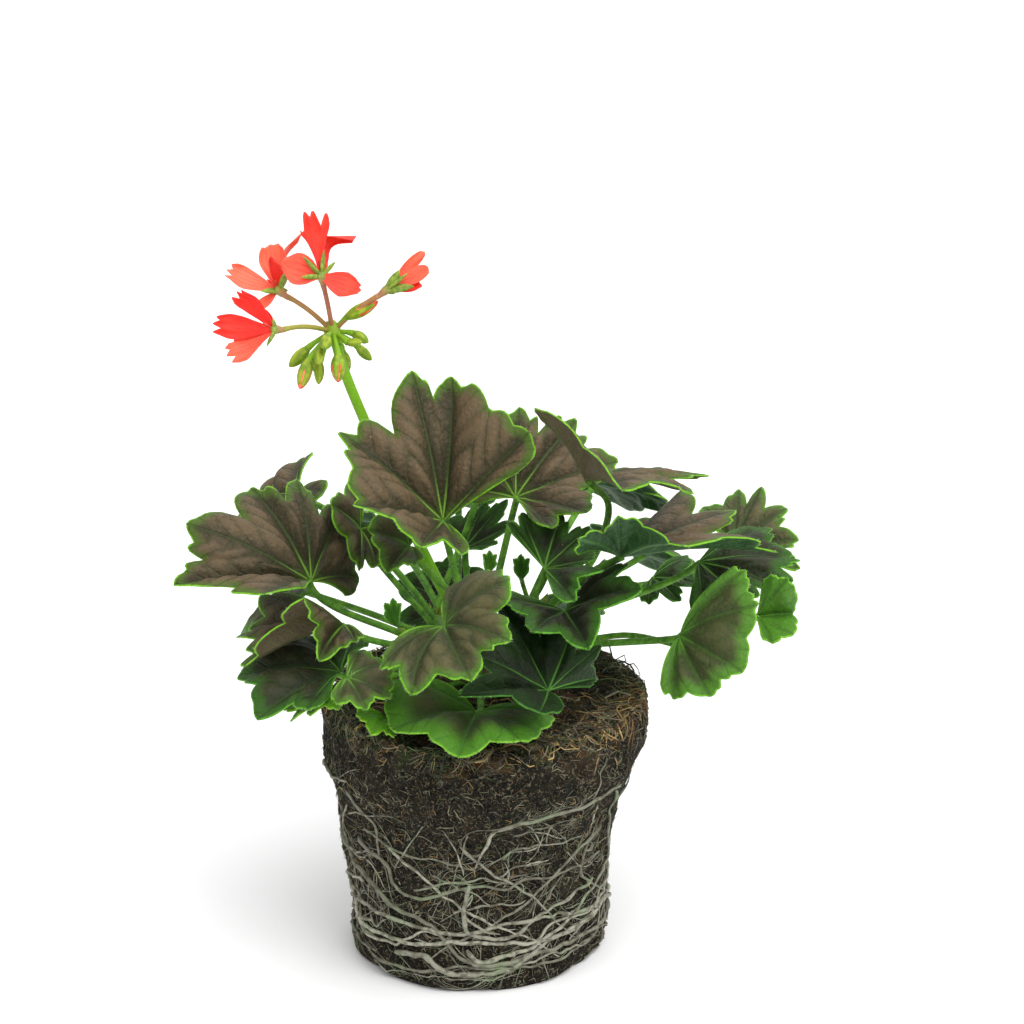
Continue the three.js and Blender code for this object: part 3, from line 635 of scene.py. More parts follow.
def even_lobes(bearing: float, height: float, heading: float, length: float, rise: float) -> Array:
    """Spreads five lobes evenly over 225 degrees of a leaf.

    Args:
        bearing: where the blade faces, 0 to the front and 90 to the right, degrees.
        height: how far up it faces, degrees.
        heading: where its middle lobe points, 0 downhill, degrees.
        length: the middle lobe's length. The outer ones are a quarter shorter.
        rise: how steeply the lobes rise from the blade's own plane, degrees.

    Returns:
        The lobes' vectors, one a row.
    """
    b, e, h, rise = (angle * DEGREE for angle in (bearing, height, heading, rise))
    facing = np.array([math.sin(b) * math.cos(e), -math.cos(b) * math.cos(e), math.sin(e)])
    downhill = unit(-UP + facing * facing[2])
    middle = downhill * math.cos(h) + np.cross(facing, downhill) * math.sin(h)
    t = np.linspace(-1, 1, 5)[:, None]
    angle = t * LOBE_SPREAD * DEGREE
    flat = middle * np.cos(angle) + np.cross(facing, middle) * np.sin(angle)
    lobes = flat * math.cos(rise) + facing * math.sin(rise)
    return lobes * length * (1 - 0.25 * t * t)


@dataclass
class Leaf:
    """One leaf: a lobed, toothed and quilted blade on a hairy stalk that leaves one of the shoots."""

    node: str
    index: int
    at: Array
    lobes: Array
    arch: float  # how far the blade bows between stalk and edge, as a share of its reach
    pleat: float  # how far it rises between two lobes, as such a share
    shoot: int
    share: float  # how far up its shoot the stalk leaves
    kind: LeafKind
    way: list = field(default_factory=list)
    notches: tuple = ()
    rows: int = 21
    first_row: float = 0.035  # the first row's share of the way out
    row_spread: float = 0.9  # under 1, rows are closer together towards the edge
    columns_a_lobe: int = 18
    beside_gap: float = 0.4
    lobe_share: float = 1.02
    notch_depth: float = 0.24
    notch_sharpness: float = 1.75
    teeth_a_lobe: int = 3
    tooth_depth: float = 0.085
    tooth_bluntness: float = 0.02
    wide_angle: float = 0.6  # the angle between lobes that leaves full room for teeth and quilting, radians
    wave: float = 0.035
    wave_turns: float = 0.83  # waves for each lobe
    rib_spacing: float = 7.5
    rib_slant: float = 1.15
    vein_width: float = 3.2
    quilt: float = 1.35
    ripple: float = 0.85
    whole_relief: float = 40.0  # the length of a leaf that has its relief in full
    thickness: float = 0.5
    stalk_radius: float = 1.3
    stalk_bow: float = 0.3  # how far its ends keep their ways, as a share of its length
    stalk_steps: int = 30
    stalk_sides: int = 12
    hairs_a_mm: float = 2.1
    hair_length: tuple[float, float] = (1.6, 2.5)
    margin_hairs: float = 3.0  # for each millimetre of the leaf's length
    margin_hair_length: tuple[float, float] = (0.5, 1.1)

    def __post_init__(self) -> None:
        """Works out the way that the blade faces and spreads, as the part does."""
        self.at = np.array(self.at, float)
        self.facing = unit(np.cross(self.lobes[:-1], self.lobes[1:]).sum(axis=0))
        total = self.lobes.sum(axis=0)
        self.spread = unit(total - self.facing * (total @ self.facing))
        self.length = float(np.linalg.norm(self.lobes, axis=1).max())
        self.phase = TURN * float(draw(self.index + 200))

    def ray(self, across: Array) -> Array:
        """Mixes the two lobes beside a place, and their lengths.

        Args:
            across: places round the blade, counted in lobes from the first.

        Returns:
            The way from the stalk to the edge there, and the distance.
        """
        last = len(self.lobes) - 1
        i = np.clip(np.floor(across).astype(int), 0, last - 1)
        past = np.where(across < 0, across, np.maximum(0, across - last))
        w = (across - i - past + past * 2 * self.beside_gap)[..., None]
        near = np.clip(w, 0, 1)
        a, b = self.lobes[i], self.lobes[i + 1]
        lengths = [np.linalg.norm(v, axis=-1, keepdims=True) for v in (a, b)]
        return unit(a + (b - a) * w) * (lengths[0] * (1 - near) + lengths[1] * near)

    def lobe_angle(self, across: Array) -> Array:
        """Returns the angle in radians between the two lobes that a place lies between."""
        ways = unit(self.lobes)
        angles = np.arccos(np.clip((ways[:-1] * ways[1:]).sum(axis=1), -1, 1))
        return angles[np.clip(np.floor(across).astype(int), 0, len(angles) - 1)]

    def room(self, across: Array) -> Array:
        """Returns 1 where the two lobes beside a place are far apart, and less where they are close."""
        return np.minimum(1, self.lobe_angle(across) / self.wide_angle)

    def outline(self, across: Array) -> Array:
        """Shapes the edge: blunt lobes with teeth, and notches between them.

        The fall from a lobe to its notch is a power of the place beside the lobe, and each notch has its own
        depth. The teeth are the size of a cosine with its sharp turns blunted. Noise shifts them along the
        edge, and makes some deep and lets others vanish.

        Args:
            across: places round the blade, counted in lobes from the first.

        Returns:
            The edge's distance as a share of the lobe's length.
        """
        u = across - np.round(across)
        gap = np.floor(across).astype(int)
        shares = np.array([1.0, *(self.notches or np.ones(len(self.lobes) - 1)), 1.0])[gap + 1]
        notch = self.notch_depth * (0.65 + 0.7 * draw(gap + 13 * self.index)) * shares
        fall = self.lobe_share - notch * np.abs(2 * u) ** self.notch_sharpness
        line = across * 2.6
        place = u + 0.16 * line_noise(line, self.index + 5) * (1 - 4 * u**2)
        teeth = np.sqrt(np.cos(np.pi * self.teeth_a_lobe * place) ** 2 + self.tooth_bluntness) - 1
        room = self.room(across) * np.minimum(1, 0.25 + shares)
        uneven = np.clip(0.8 + 1.5 * line_noise(line * 1.3, self.index), 0.12, 1.7)
        return fall + room * self.tooth_depth * uneven * teeth + 0.008 * line_noise(line * 4, self.index + 7)

    def blade(self, shell: Shell) -> None:
        """Adds the blade to a shell.

        A point stands a share out along its ray, raised by an arch between stalk and edge, a pleat between
        lobes and a wave at the margin, as on the part. The quilting is added along the normal: the surface
        is low over the main and side veins and bulges between them. The distance to the margin is the least
        of the distances to the border's points. Near the stalk the normal is mostly that of the rays' cone.

        Args:
            shell: the mesh to add to.
        """
        lobes = len(self.lobes)
        across = np.linspace(-0.5, lobes - 0.5, lobes * self.columns_a_lobe + 1)[None]
        out = np.linspace(self.first_row, 1, self.rows)[:, None] ** self.row_spread
        cone = unit(np.cross(self.ray(across - 0.3), self.ray(across + 0.3)))
        ray, across, out = self.ray(across), *np.broadcast_arrays(across, out)
        reach = np.linalg.norm(ray, axis=-1)
        u = across - np.round(across)
        edge = self.outline(across)
        room = self.room(across)
        bend = self.arch * 4 * out * (1 - out) + room * self.pleat * (1 - np.cos(TURN * u)) / 2 * out
        bend = bend + self.wave * out**2 * np.sin(TURN * self.wave_turns * across + self.phase)
        points = self.at + ray * (out * edge)[..., None] + self.facing * (reach * bend)[..., None]
        along = out * edge * reach
        beside = np.abs(u) * self.lobe_angle(across) * along
        rib = (along - self.rib_slant * beside) / self.rib_spacing + 0.25 * np.sin(TURN * u)
        rib = rib + 0.2 * noise(points, 14, 3)
        border = np.concatenate([points[-1], points[:, 0], points[:, -1]])
        margin = np.linalg.norm(points[:, :, None] - border, axis=-1).min(axis=-1)
        steady = cone * (2 * ease(18, 5, along))[..., None]
        between = (1 - np.exp(-((beside / self.vein_width) ** 2))) * room
        side = (0.5 - 0.5 * np.cos(TURN * rib)) * ease(5, 14, along)
        clear = ease(1.5, 9, along) * ease(0, 5, margin)
        rough = 0.1 * noise(points, 3, self.index) + 0.5 * noise(points, 10, self.index + 40) * out
        lift = (self.quilt * (between - 0.5) + self.ripple * side * between) * clear
        lift = lift + rough * ease(1, 8, along)
        normal = unit(grid_normals(points) + steady)
        points = points + normal * lift[..., None] * min(1.0, self.length / self.whole_relief)
        normal = unit(grid_normals(points) + steady)
        self.edge_points, self.edge_normals = points[-1], normal[-1]
        # how far the blade bulges between the veins, which the material turns into painted highlight and
        # shade
        bulge = between * (0.4 + 0.6 * side)
        tip = ease(0.7, 0.98, out) * np.cos(np.pi * u) ** 2
        marks = {"along": along, "beside": beside, "rib": rib, "edge": margin, "bulge": bulge, "tip": tip}
        shell.sheet(points, normal, np.stack([self.at, self.facing]), self.thickness, **marks)

    def stalk_path(self, count: int) -> Array:
        """Leads the stalk from its shoot outward and up to the blade from below.

        Args:
            count: how many points to give.

        Returns:
            The points along the stalk.
        """
        foot = shoot_curve(self.shoot, SHOOT_STEPS + 1)[round(SHOOT_STEPS * self.share)]
        end = self.at + self.spread + self.facing * 0.1
        if self.way:
            return spline(np.vstack([foot, np.array(self.way, float), end]), count)
        away = self.at - foot
        length = np.linalg.norm(away)
        first = unit(away * [1, 1, 0]) * 0.5 + UP * 0.7
        last = unit(self.facing * 0.8 + self.spread * 0.5)
        bows = first * length * self.stalk_bow, last * length * self.stalk_bow
        return bezier([foot, foot + bows[0], end - bows[1], end], count)

    def stalk(self, shell: Shell) -> None:
        """Adds the stalk: a rod with a swollen foot and neck and a shallow channel along it.

        Args:
            shell: the mesh to add to.
        """
        t = np.linspace(0, 1, self.stalk_steps)
        radius = self.stalk_radius * min(1, 0.45 + self.length / 45)
        wide = radius * (1 + 0.35 * np.exp(-t / 0.05) + 0.12 * np.exp(-(1 - t) / 0.04) - 0.08 * t)
        shape = wide[:, None] * (1 - 0.07 * np.maximum(0, np.cos(around(self.stalk_sides))) ** 3)
        far = {"along": 60.0, "beside": 9.0, "edge": 9.0}
        shell.rods(self.stalk_path(self.stalk_steps), shape[None], self.stalk_sides, stalk=1.0, **far)

    def hairs(self, shell: Shell) -> None:
        """Adds short fine hairs that stand off the stalk and the blade's margin at seeded places.

        Args:
            shell: the mesh to add to.
        """
        rng = np.random.default_rng(self.index)
        path = self.stalk_path(60)
        number = int(np.linalg.norm(np.diff(path, axis=0), axis=1).sum() * self.hairs_a_mm)
        place = path[rng.integers(6, 59, number)]
        way = unit(rng.normal(size=(number, 3)))
        tangent = unit(path[-1] - path[0])
        way = unit(way - tangent * (way @ tangent)[:, None] * 0.8)
        way = way * rng.uniform(*self.hair_length, number)[:, None]
        shell.rods(place[:, None] + way[:, None] * [[0.3], [1.0]], HAIR_RADII, 3, finish=1)
        pick = rng.integers(0, len(self.edge_points), int(self.length * self.margin_hairs))
        way = unit(self.edge_points[pick] - self.at) + 0.5 * rng.normal(size=(len(pick), 3))
        way = unit(way) * rng.uniform(*self.margin_hair_length, (len(pick), 1))
        place = self.edge_points[pick] - 0.2 * self.edge_normals[pick]
        shell.rods(place[:, None] + way[:, None] * [[0.0], [1.0]], MARGIN_HAIR_RADII, 3, finish=1)

    def build(self, finishes: "Finishes") -> Piece:
        """Builds the leaf: its blade, its stalk and its hairs.

        Args:
            finishes: the plant's materials.

        Returns:
            The leaf.
        """
        shell = Shell()
        self.blade(shell)
        self.stalk(shell)
        self.hairs(shell)
        finish = finishes.leaves[self.kind]
        return shell.build(f"{self.node}_fine", [finish, finishes.down], "leaf", self.node)


BRONZE, OLIVE, DUSKY, SHADED = LeafKind.BRONZE, LeafKind.OLIVE, LeafKind.DUSKY, LeafKind.SHADED
DEEP_SHADE, GREEN, YOUNG = LeafKind.DEEP_SHADE, LeafKind.GREEN, LeafKind.YOUNG
RUSSET, FOLDED = LeafKind.RUSSET, LeafKind.FOLDED

# Leaves seen from the front: the place where stalk and blade meet, the lobes as [across, up, out], then arch,
# pleat, shoot, share of the way up the shoot, the colours and any places that the stalk passes on its way
FRONT_LEAVES: dict[str, tuple] = {
    "leaf_top_front": (
        [-12, -15, 165],
        [[29, 30, 14], [3, 49, -4], [-11, 50, -2], [-35, 30, 8], [-29, 5, 28], [-6, -8, 38], [7, -11, 33]],
        0.06, 0.06, 4, 0.55, BRONZE,
    ),
    "leaf_top_right": (
        [13, 14, 164],
        [
            [12, -11, 26], [24, -6, 20], [36, 12, -4], [22, 28, -16], [1, 33, -14], [-14, 20, -12],
            [-18, 3, -10],
        ],
        0.06, 0.05, 4, 0.75, BRONZE,
    ),
    "leaf_far_right_top": (
        [37, -12, 179],
        [[-16, 24, 20], [12, -3, 30], [35, -4, 20], [42, 1, -8], [26, 4, -20]],
        0.06, 0.02, 3, 0.78, FOLDED, [[38, 12, 138], [44, 3, 155], [45, -3, 168]],
    ),
    "leaf_middle": (
        [23, -16, 148],
        [[9, -10, 28], [19, 0, 26], [17, 3, 14], [16, 14, -4], [6, 19, -8], [-8, 20, -10], [-13, 17, -12]],
        0.05, 0.05, 4, 0.35, SHADED,
    ),
    "leaf_right_flat": (
        [49, -12, 151],
        [[-15, 5, 34], [-2, 14, 36], [19, 5, 40], [53, 3, 4], [41, 16, -20], [24, 23, -32], [9, 13, -30]],
        0.05, 0.03, 1, 0.97, BRONZE, [[25, -13, 133], [38, -18, 147]],
    ),
    "leaf_right_saddle": (
        [30, -20, 134],
        [[-22, 4, 12], [-11, -7, 30], [7, -12, 32], [25, 9, 22], [21, 17, 4], [13, 17, -14]],
        0.05, 0.04, 1, 0.35, SHADED, [[22, -16, 121], [28, -20, 129]],
    ),
    "leaf_front": (
        [-11, -45, 138],
        [[-21, -13, 16], [-11, -21, 22], [9, -17, 28], [22, -5, 26], [22, 15, 10], [8, 17, -22]],
        0.12, 0.05, 0, 0.75, OLIVE,
    ),
    "leaf_front_shaded": (
        [24, -46, 115],
        [
            [17, 4, -16], [18, 15, -14], [8, 20, -12], [-17, 30, -14], [-26, 14, 12], [-29, 0, 22],
            [-3, -6, 26],
        ],
        0.04, 0.05, 1, 0.2, DEEP_SHADE,
    ),
    "leaf_front_low": (
        [0, -46, 107],
        [[-31, 11, -12], [-28, -4, 14], [-6, -13, 24], [15, -9, 24], [25, -2, -6]],
        0.1, 0.06, 4, 0.12, DUSKY,
    ),
    "leaf_left_large": (
        [-58, -12, 142],
        [
            [15, 1, -24], [9, 25, -22], [-6, 37, -22], [-22, 33, -18], [-42, 19, 6], [-46, -2, 12],
            [-14, -4, 28],
        ],
        0.08, 0.05, 0, 0.85, BRONZE,
    ),
    "leaf_left_folded": (
        [-46, -25, 131],
        [[-30, 9, -24], [-38, -4, -18], [-34, -13, 8], [-12, 10, 26], [-7, -12, 18], [5, -6, 18]],
        0.06, 0.03, 0, 0.56, FOLDED,
    ),
    "leaf_left_low": (
        [-47, -34, 117],
        [[4, 12, -24], [-17, 13, -26], [-36, 0, -8], [-27, -15, 14], [-10, -12, 20]],
        0.08, 0.05, 0, 0.42, SHADED,
    ),
    "leaf_left_small": (
        [-44, -52, 122],
        [[-3, -8, 10], [7, -10, 12], [15, -6, 8], [14, 5, -8], [4, 9, -12]],
        0.1, 0.05, 0, 0.28, OLIVE, [[-18, -24, 113], [-36, -44, 122]],
    ),
    "leaf_rim_left": (
        [-50, -42, 112],
        [[-16, -6, -4], [-13, -9, 6], [-6, -6, 12], [3, -4, 12]],
        0.1, 0.05, 0, 0.12, GREEN, [[-24, -23, 105]],
    ),
    "leaf_rim_front": (
        [-31, -46, 105],
        [[-10, 2, 4], [-5, -5, 12], [3, -6, 11], [6, -4, 5]],
        0.1, 0.05, 4, 0.03, GREEN, [[-14, -26, 102]],
    ),
    "leaf_left_hanging": (
        [-42, 15, 152],
        [[-3, 18, -10], [-10, 8, 10], [0, -15, 14], [6, -14, 12], [14, 2, 8]],
        0.1, 0.04, 2, 0.4, BRONZE,
    ),
    "leaf_behind_top": (
        [-24, -6, 153],
        [[8, 16, -6], [-6, 18, -4], [-14, 5, 6], [-7, -9, 14], [3, -6, 14]],
        0.1, 0.04, 4, 0.85, OLIVE,
    ),
    "leaf_back_middle": (
        [-6, 35, 137],
        [[12, 2, 14], [17, 8, 8], [16, 18, -6], [8, 18, -14], [-6, 12, -12]],
        0.04, 0.03, 4, 0.3, SHADED,
    ),
    "leaf_right_behind": (
        [62, 25, 130],
        [[-2, -9, 12], [9, -8, 12], [16, -2, 6], [14, 8, -8]],
        0.08, 0.04, 3, 0.38, SHADED,
    ),
    "leaf_right_wide": (
        [77, 5, 143],
        [[0, -20, 24], [15, -15, 16], [34, -11, 6], [36, 2, -4], [26, 12, -22]],
        0.08, 0.05, 1, 0.74, SHADED,
    ),
    "leaf_right_back": (
        [92, 35, 139],
        [[22, -8, 14], [22, 2, 10], [19, 13, 0], [11, 21, -12], [3, 20, -14], [-10, 14, -16]],
        0.06, 0.04, 3, 0.88, OLIVE,
    ),
    "leaf_right_green": (
        [69, -30, 129],
        [[-3, -21, 10], [9, -20, 16], [20, -12, 20], [26, 10, 16], [22, 22, 8]],
        0.12, 0.06, 1, 0.32, RUSSET,
    ),
    "leaf_right_edge": (
        [96, -22, 133],
        [[4, -9, 12], [12, -6, 8], [13, 1, -4], [10, 13, 10], [4, 14, 8]],
        0.04, 0.03, 3, 0.26, DUSKY, [[50, 4, 116], [80, -16, 119]],
    ),
}
# How deep the notches between the lobes are where the photograph shows it, as shares of the usual depth
NOTCHES: dict[str, tuple] = {
    "leaf_top_front": (0.75, 0.5, 1.1, 0.55, 0.5, 0.6),
    "leaf_left_large": (0.7, 1.0, 0.7, 1.1, 0.8, 0.5),
    "leaf_front": (0.5, 0.75, 0.85, 0.7, 0.5),
    "leaf_front_low": (0.4, 0.25, 0.4, 0.4),
    "leaf_left_small": (0.6, 0.6, 0.6, 0.6),
    "leaf_right_green": (0.35, 0.3, 0.4, 0.3),
    "leaf_right_edge": (0.25, 0.2, 0.25, 0.2),
}

# Leaves at the sides and back: that place, the five values that even_lobes takes, then the rest as above
BACK_LEAVES: dict[str, tuple] = {
    "leaf_left_behind": ([-9, 45, 112], -10, 58, 250, 24, 4, 0.06, 0.05, 2, 0.24, SHADED),
    "leaf_back_left_top": ([-66, 42, 156], 284, 50, 0, 32, 4, 0.08, 0.05, 2, 0.66, BRONZE),
    "leaf_back_left": ([-36, 66, 136], 214, 50, 4, 34, 2, 0.1, 0.05, 2, 0.55, BRONZE),
    "leaf_back": ([-8, 74, 148], 184, 54, 350, 33, 4, 0.08, 0.05, 2, 0.42, BRONZE),
    "leaf_back_right": ([42, 64, 153], 146, 52, 8, 36, 4, 0.08, 0.05, 3, 0.68, BRONZE),
    "leaf_back_right_low": ([60, 62, 126], 130, 50, 350, 34, 4, 0.08, 0.05, 3, 0.5, RUSSET),
    "leaf_left_low_back": ([-64, 30, 124], 262, 48, 0, 30, 2, 0.1, 0.05, 2, 0.12, RUSSET),
    "leaf_back_top": ([0, 50, 169], 190, 60, 10, 26, 4, 0.06, 0.05, 2, 0.97, BRONZE),
    "leaf_back_low": ([20, 62, 106], 170, 60, 0, 32, 2, 0.1, 0.05, 3, 0.08, DUSKY),
    "young_leaf_left": ([-28, -22, 129], -20, 62, 190, 11, 70, 0, 0, 0, 0.99, YOUNG, [[-22, -13, 124]]),
    "young_leaf_middle": ([3, -4, 142], 20, 62, 170, 9, 72, 0, 0, 4, 0.99, YOUNG),
    "young_leaf_right": ([15, 12, 134], 0, 62, 180, 10, 70, 0, 0, 3, 0.97, YOUNG),
}


@dataclass
class Foliage:
    """All the leaves, in the order that the part counts them."""

    front: dict[str, tuple] = field(default_factory=lambda: FRONT_LEAVES)
    back: dict[str, tuple] = field(default_factory=lambda: BACK_LEAVES)
    young_notches: float = 0.5  # how deep a young leaf's notches are, as a share of the usual depth

    def leaves(self) -> list[Leaf]:
        """Works out each leaf's lobes and notches.

        Returns:
            The leaves.
        """
        rows = [(node, at, seen(lobes), rest) for node, (at, lobes, *rest) in self.front.items()]
        rows += [(node, row[0], even_lobes(*row[1:6]), row[6:]) for node, row in self.back.items()]
        found = [Leaf(node, index, at, lobes, *rest) for index, (node, at, lobes, rest) in enumerate(rows)]
        for leaf in found:
            leaf.notches = NOTCHES.get(leaf.node, ())
            leaf.notch_depth *= self.young_notches if leaf.kind is YOUNG else 1
        return found

    def build(self, finishes: "Finishes") -> list[Piece]:
        """Builds every leaf with the plant's materials and returns them."""
        return [leaf.build(finishes) for leaf in self.leaves()]


@dataclass
class Stem:
    """The trunk in the soil and five shoots: ringed bark below, scars above, and leaflets at the tips."""

    foot: float = 84.0
    top: float = 102.0
    trunk_steps: int = 26
    trunk_sides: int = 24
    shoot_steps: int = 30
    shoot_sides: int = 16
    leaflets: int = 9
    leaflet_steps: int = 12
    leaflet_length: tuple[float, float] = (5, 10.5)
    leaflet_lean: tuple[float, float] = (0.1, 0.75)

    def tips(self, shell: Shell) -> None:
        """Adds narrow folded leaflets at each shoot's tip: flat rods that rise and lean out.

        Args:
            shell: the mesh to add to.
        """
        rng = np.random.default_rng(90)
        number = self.leaflets * len(SHOOTS)
        away = level(rng.uniform(0, TURN, number))[:, None]
        size = rng.uniform(*self.leaflet_length, (number, 1, 1))
        lean = rng.uniform(*self.leaflet_lean, (number, 1, 1))
        start = np.repeat(SHOOTS, self.leaflets, axis=0)[:, None] - UP * 1.5 + away * 1.6
        t = np.linspace(0, 1, self.leaflet_steps)[:, None]
        paths = start + UP * size * (t - 0.3 * lean * t**2) + away * size * lean * t**1.6
        wide = np.interp(t[:, 0], [0, 0.25, 0.5, 0.8, 1], [0.8, 1.25, 1.3, 0.7, 0.1])
        wide = wide * rng.uniform(0.7, 1.2, (number, 1))
        flat = np.array([1.0, 0.8, 0.5, 0.42, 0.5, 0.8, 1.0, 0.6, 0.25, 0.12, 0.25, 0.6])
        shell.rods(paths, wide[..., None] * flat, len(flat), finish=1, rosy=0.0)

    def build(self, finishes: "Finishes") -> Piece:
        """Builds the stem: the trunk, the shoots and the leaflets.

        Args:
            finishes: the plant's materials.

        Returns:
            The stem.
        """
        shell = Shell()
        z = np.linspace(self.foot, self.top, self.trunk_steps)
        rings = 1 + 0.05 * np.sin(z * 1.7) + 0.25 * ease(97, 92, z) - 0.2 * ease(self.top - 6, self.top, z)
        shell.rods(z[:, None] * UP, (TRUNK_RADIUS * rings)[None], self.trunk_sides, wood=1.0)
        t = np.linspace(0, 1, self.shoot_steps)
        paths = np.stack([shoot_curve(i, self.shoot_steps) for i in range(len(SHOOTS))])
        knots = 1 + 0.09 * np.maximum(0, np.sin(t * 26)) ** 4 - 0.75 * ease(0.94, 1.02, t)
        bark = 1 - ease(0.1, 0.7, t)
        shell.rods(paths, (SHOOT_RADIUS * knots)[None], self.shoot_sides, wood=bark[None])
        self.tips(shell)
        return shell.build("stem_fine", [finishes.stem, finishes.sepal], "stem", "stem")


# The flower head as the part has it. Each bloom has its heart, its petals, the tips of its sepals and their
# width. Each petal has its tip, its width, how far it bends back, the way its inner face turns, its form, how
# light its red is from 0 to 1, which is partly painted light and shade by how the petal faces the light, and
# its end's outline as [place across from -1 to 1, share of the length].
HEAD = np.array([-50.0, 8.0, 226.0])
FLOWER_STALK = np.array(
    [[0, 3, 118], [-9, 4, 127], [-21, 8, 149], [-31, 10, 172], [-39, 10, 192], [-46, 9, 211], [-50, 8, 226]],
    float,
)
CALYX_LENGTH = 3.5


class PetalForm(Enum):
    """A petal's half width at even steps from its claw to its end, as a share of the widest."""

    FAN = (0.14, 0.18, 0.28, 0.46, 0.66, 0.86, 0.98, 1.0)
    SPOON = (0.16, 0.3, 0.55, 0.78, 0.94, 1.0, 0.95, 0.8)
    EGG = (0.18, 0.42, 0.72, 0.92, 1.0, 0.96, 0.8, 0.5)
    POINTED = (0.3, 0.6, 0.88, 1.0, 0.9, 0.62, 0.36, 0.14)


FAN, SPOON, EGG, POINTED = PetalForm.FAN, PetalForm.SPOON, PetalForm.EGG, PetalForm.POINTED
ROUND_END = [[-1, 0.88], [-0.6, 0.97], [-0.1, 1], [0.3, 0.98], [0.7, 0.96], [1, 0.87]]
WAVY_END = [[-1, 0.86], [-0.7, 0.95], [-0.45, 0.93], [0, 1], [0.35, 0.965], [0.7, 0.98], [1, 0.88]]
SPLIT_END = [[-1, 0.86], [-0.7, 0.99], [-0.3, 0.85], [0.1, 1], [0.45, 0.88], [0.8, 0.94], [1, 0.84]]
BLOOMS: dict[str, tuple] = {
    "bloom_top": (
        [-53, 0, 248],
        [
            (
                [-3, 22, 2], 10.4, 0.08, [0, 0, 1], FAN, 0.15,
                [
                    [-1, 0.73], [-0.88, 0.7], [-0.68, 0.73], [-0.62, 0.98], [-0.5, 0.99], [-0.18, 0.9],
                    [-0.05, 0.99], [0.06, 1.0], [0.42, 0.74], [0.86, 0.93], [0.96, 0.93], [1, 0.86],
                ],
            ),
            ([11.6, 13.6, -2], 8.4, 0.6, [0.5, -0.5, 0.75], POINTED, 0.1, ROUND_END),
            ([13.4, -5, 2], 8.8, 0.08, [0, 0.2, 1], EGG, 0.32, WAVY_END),
            ([-13.5, 4, 3], 11, 0.06, [0, 0, 1], EGG, 0.5, WAVY_END),
            ([-6, 3, -13], 8, 0.1, [-0.2, 0.9, 0.3], EGG, 0.5, ROUND_END),
        ],
        [[-6.4, 7.6, 4], [0.8, 9.8, 3.5], [4.6, 6, 1], [-7, 0.5, 3], [1, -2, -4]],
        1.25,
    ),
    "bloom_left": (
        [-68, 4, 242],
        [
            ([-3, 15.8, 0], 9.4, 0.08, [0.15, 0, 1], SPOON, 0.92, WAVY_END),
            ([-2.2, 11, 5], 5.4, 0.12, [-0.5, -0.1, 0.8], EGG, 0.12, ROUND_END),
            ([7.4, 19.6, -3], 4.4, 0.13, [1, -0.3, 0.3], SPOON, 0.75, ROUND_END),
            ([-17.5, 6.6, 4], 8.2, 0.06, [0.1, 0.4, 0.9], SPOON, 0.9, SPLIT_END),
            ([-7, -5.8, 1], 3.6, 0.08, [0, 0.3, 1], SPOON, 0.7, ROUND_END),
        ],
        [[3.2, 7.6, 4], [1.6, 6.6, 5], [-6.8, 0.2, 4], [-0.6, -1.2, -2], [2, 1, -2]],
        1.2,
    ),
    "bloom_low_left": (
        [-68, -14, 233],
        [
            ([-13.5, 12.5, 0], 6.4, 0.1, [-0.1, -0.5, 0.9], SPOON, 0.0, SPLIT_END),
            ([-21, 1.5, 2], 8.2, 0.08, [0, 0.1, 1], SPOON, 0.02, SPLIT_END),
            ([-15.8, -9.5, 3], 9.4, 0.08, [-0.1, 0.5, 0.9], FAN, 0.52, SPLIT_END),
            ([-15, -3, -8], 8, 0.1, [0, 0.3, 1], SPOON, 0.25, WAVY_END),
            ([-8, 10.5, -3], 3.6, 0.1, [0, -0.2, 1], POINTED, 0.1, ROUND_END),
        ],
        [[-5.5, 7.4, -3], [-4, -5.5, -2], [-3, 0, -5], [-1.5, 3.4, 3], [-2.5, -4, 3]],
        1.1,
    ),
    "bloom_half_open": (
        [-31, 5, 242],
        [
            ([12.8, 13, -1], 4, 0.04, [0.3, -0.3, 0.9], SPOON, 0.85, ROUND_END),
            ([14.2, 7.2, 2.5], 5.4, 0.04, [0, 0, 1], SPOON, 0.7, ROUND_END),
            ([12, 2, 0], 4.5, 0.04, [0, 0.4, 0.8], SPOON, 0.05, WAVY_END),
        ],
        [[5.6, 7.2, 3.2], [8.2, 5.8, 5], [10.4, 1.6, 3.4], [4, 0, -3], [3, 4, -3]],
        1.75,
    ),
}
# Each bud: where it hangs from and where its tip ends, from the head, its radius, and how far it shows red
BUDS: list[tuple] = [
    ([-8.4, -5.2, 0], [-14.8, -12, 2], 2.2, 0.35),
    ([-7.8, -9.6, 6], [-10.8, -20, 7], 2.4, 1.0),
    ([-4.6, -9.6, 1], [-4.8, -18, 1], 1.8, 0.0),
    ([2.4, -8, 8], [2.4, -17.8, 9], 2.5, 0.8),
    ([-1.6, -2, 7], [-1.8, -6.6, 13.6], 2.1, 0.0),
    ([-4, -6.4, 5], [-4.2, -11.8, 10.6], 1.9, 0.0),
    ([6.6, -0.1, 1], [12.4, -3.6, 2], 1.9, 0.0),
    ([5, -4, 5], [10.4, -4, 8], 1.45, 0.0),
    ([-5, -6, -5], [-7, -13, -8], 2, 0.0),
    ([3, -6, -6], [5, -13, -8], 2, 0.1),
    ([8, -4, -6], [13, -9, -8], 1.8, 0.0),
    ([4.6, 4.9, 2.6], [15.8, 10.4, 4], 2.35, 1.0),
]


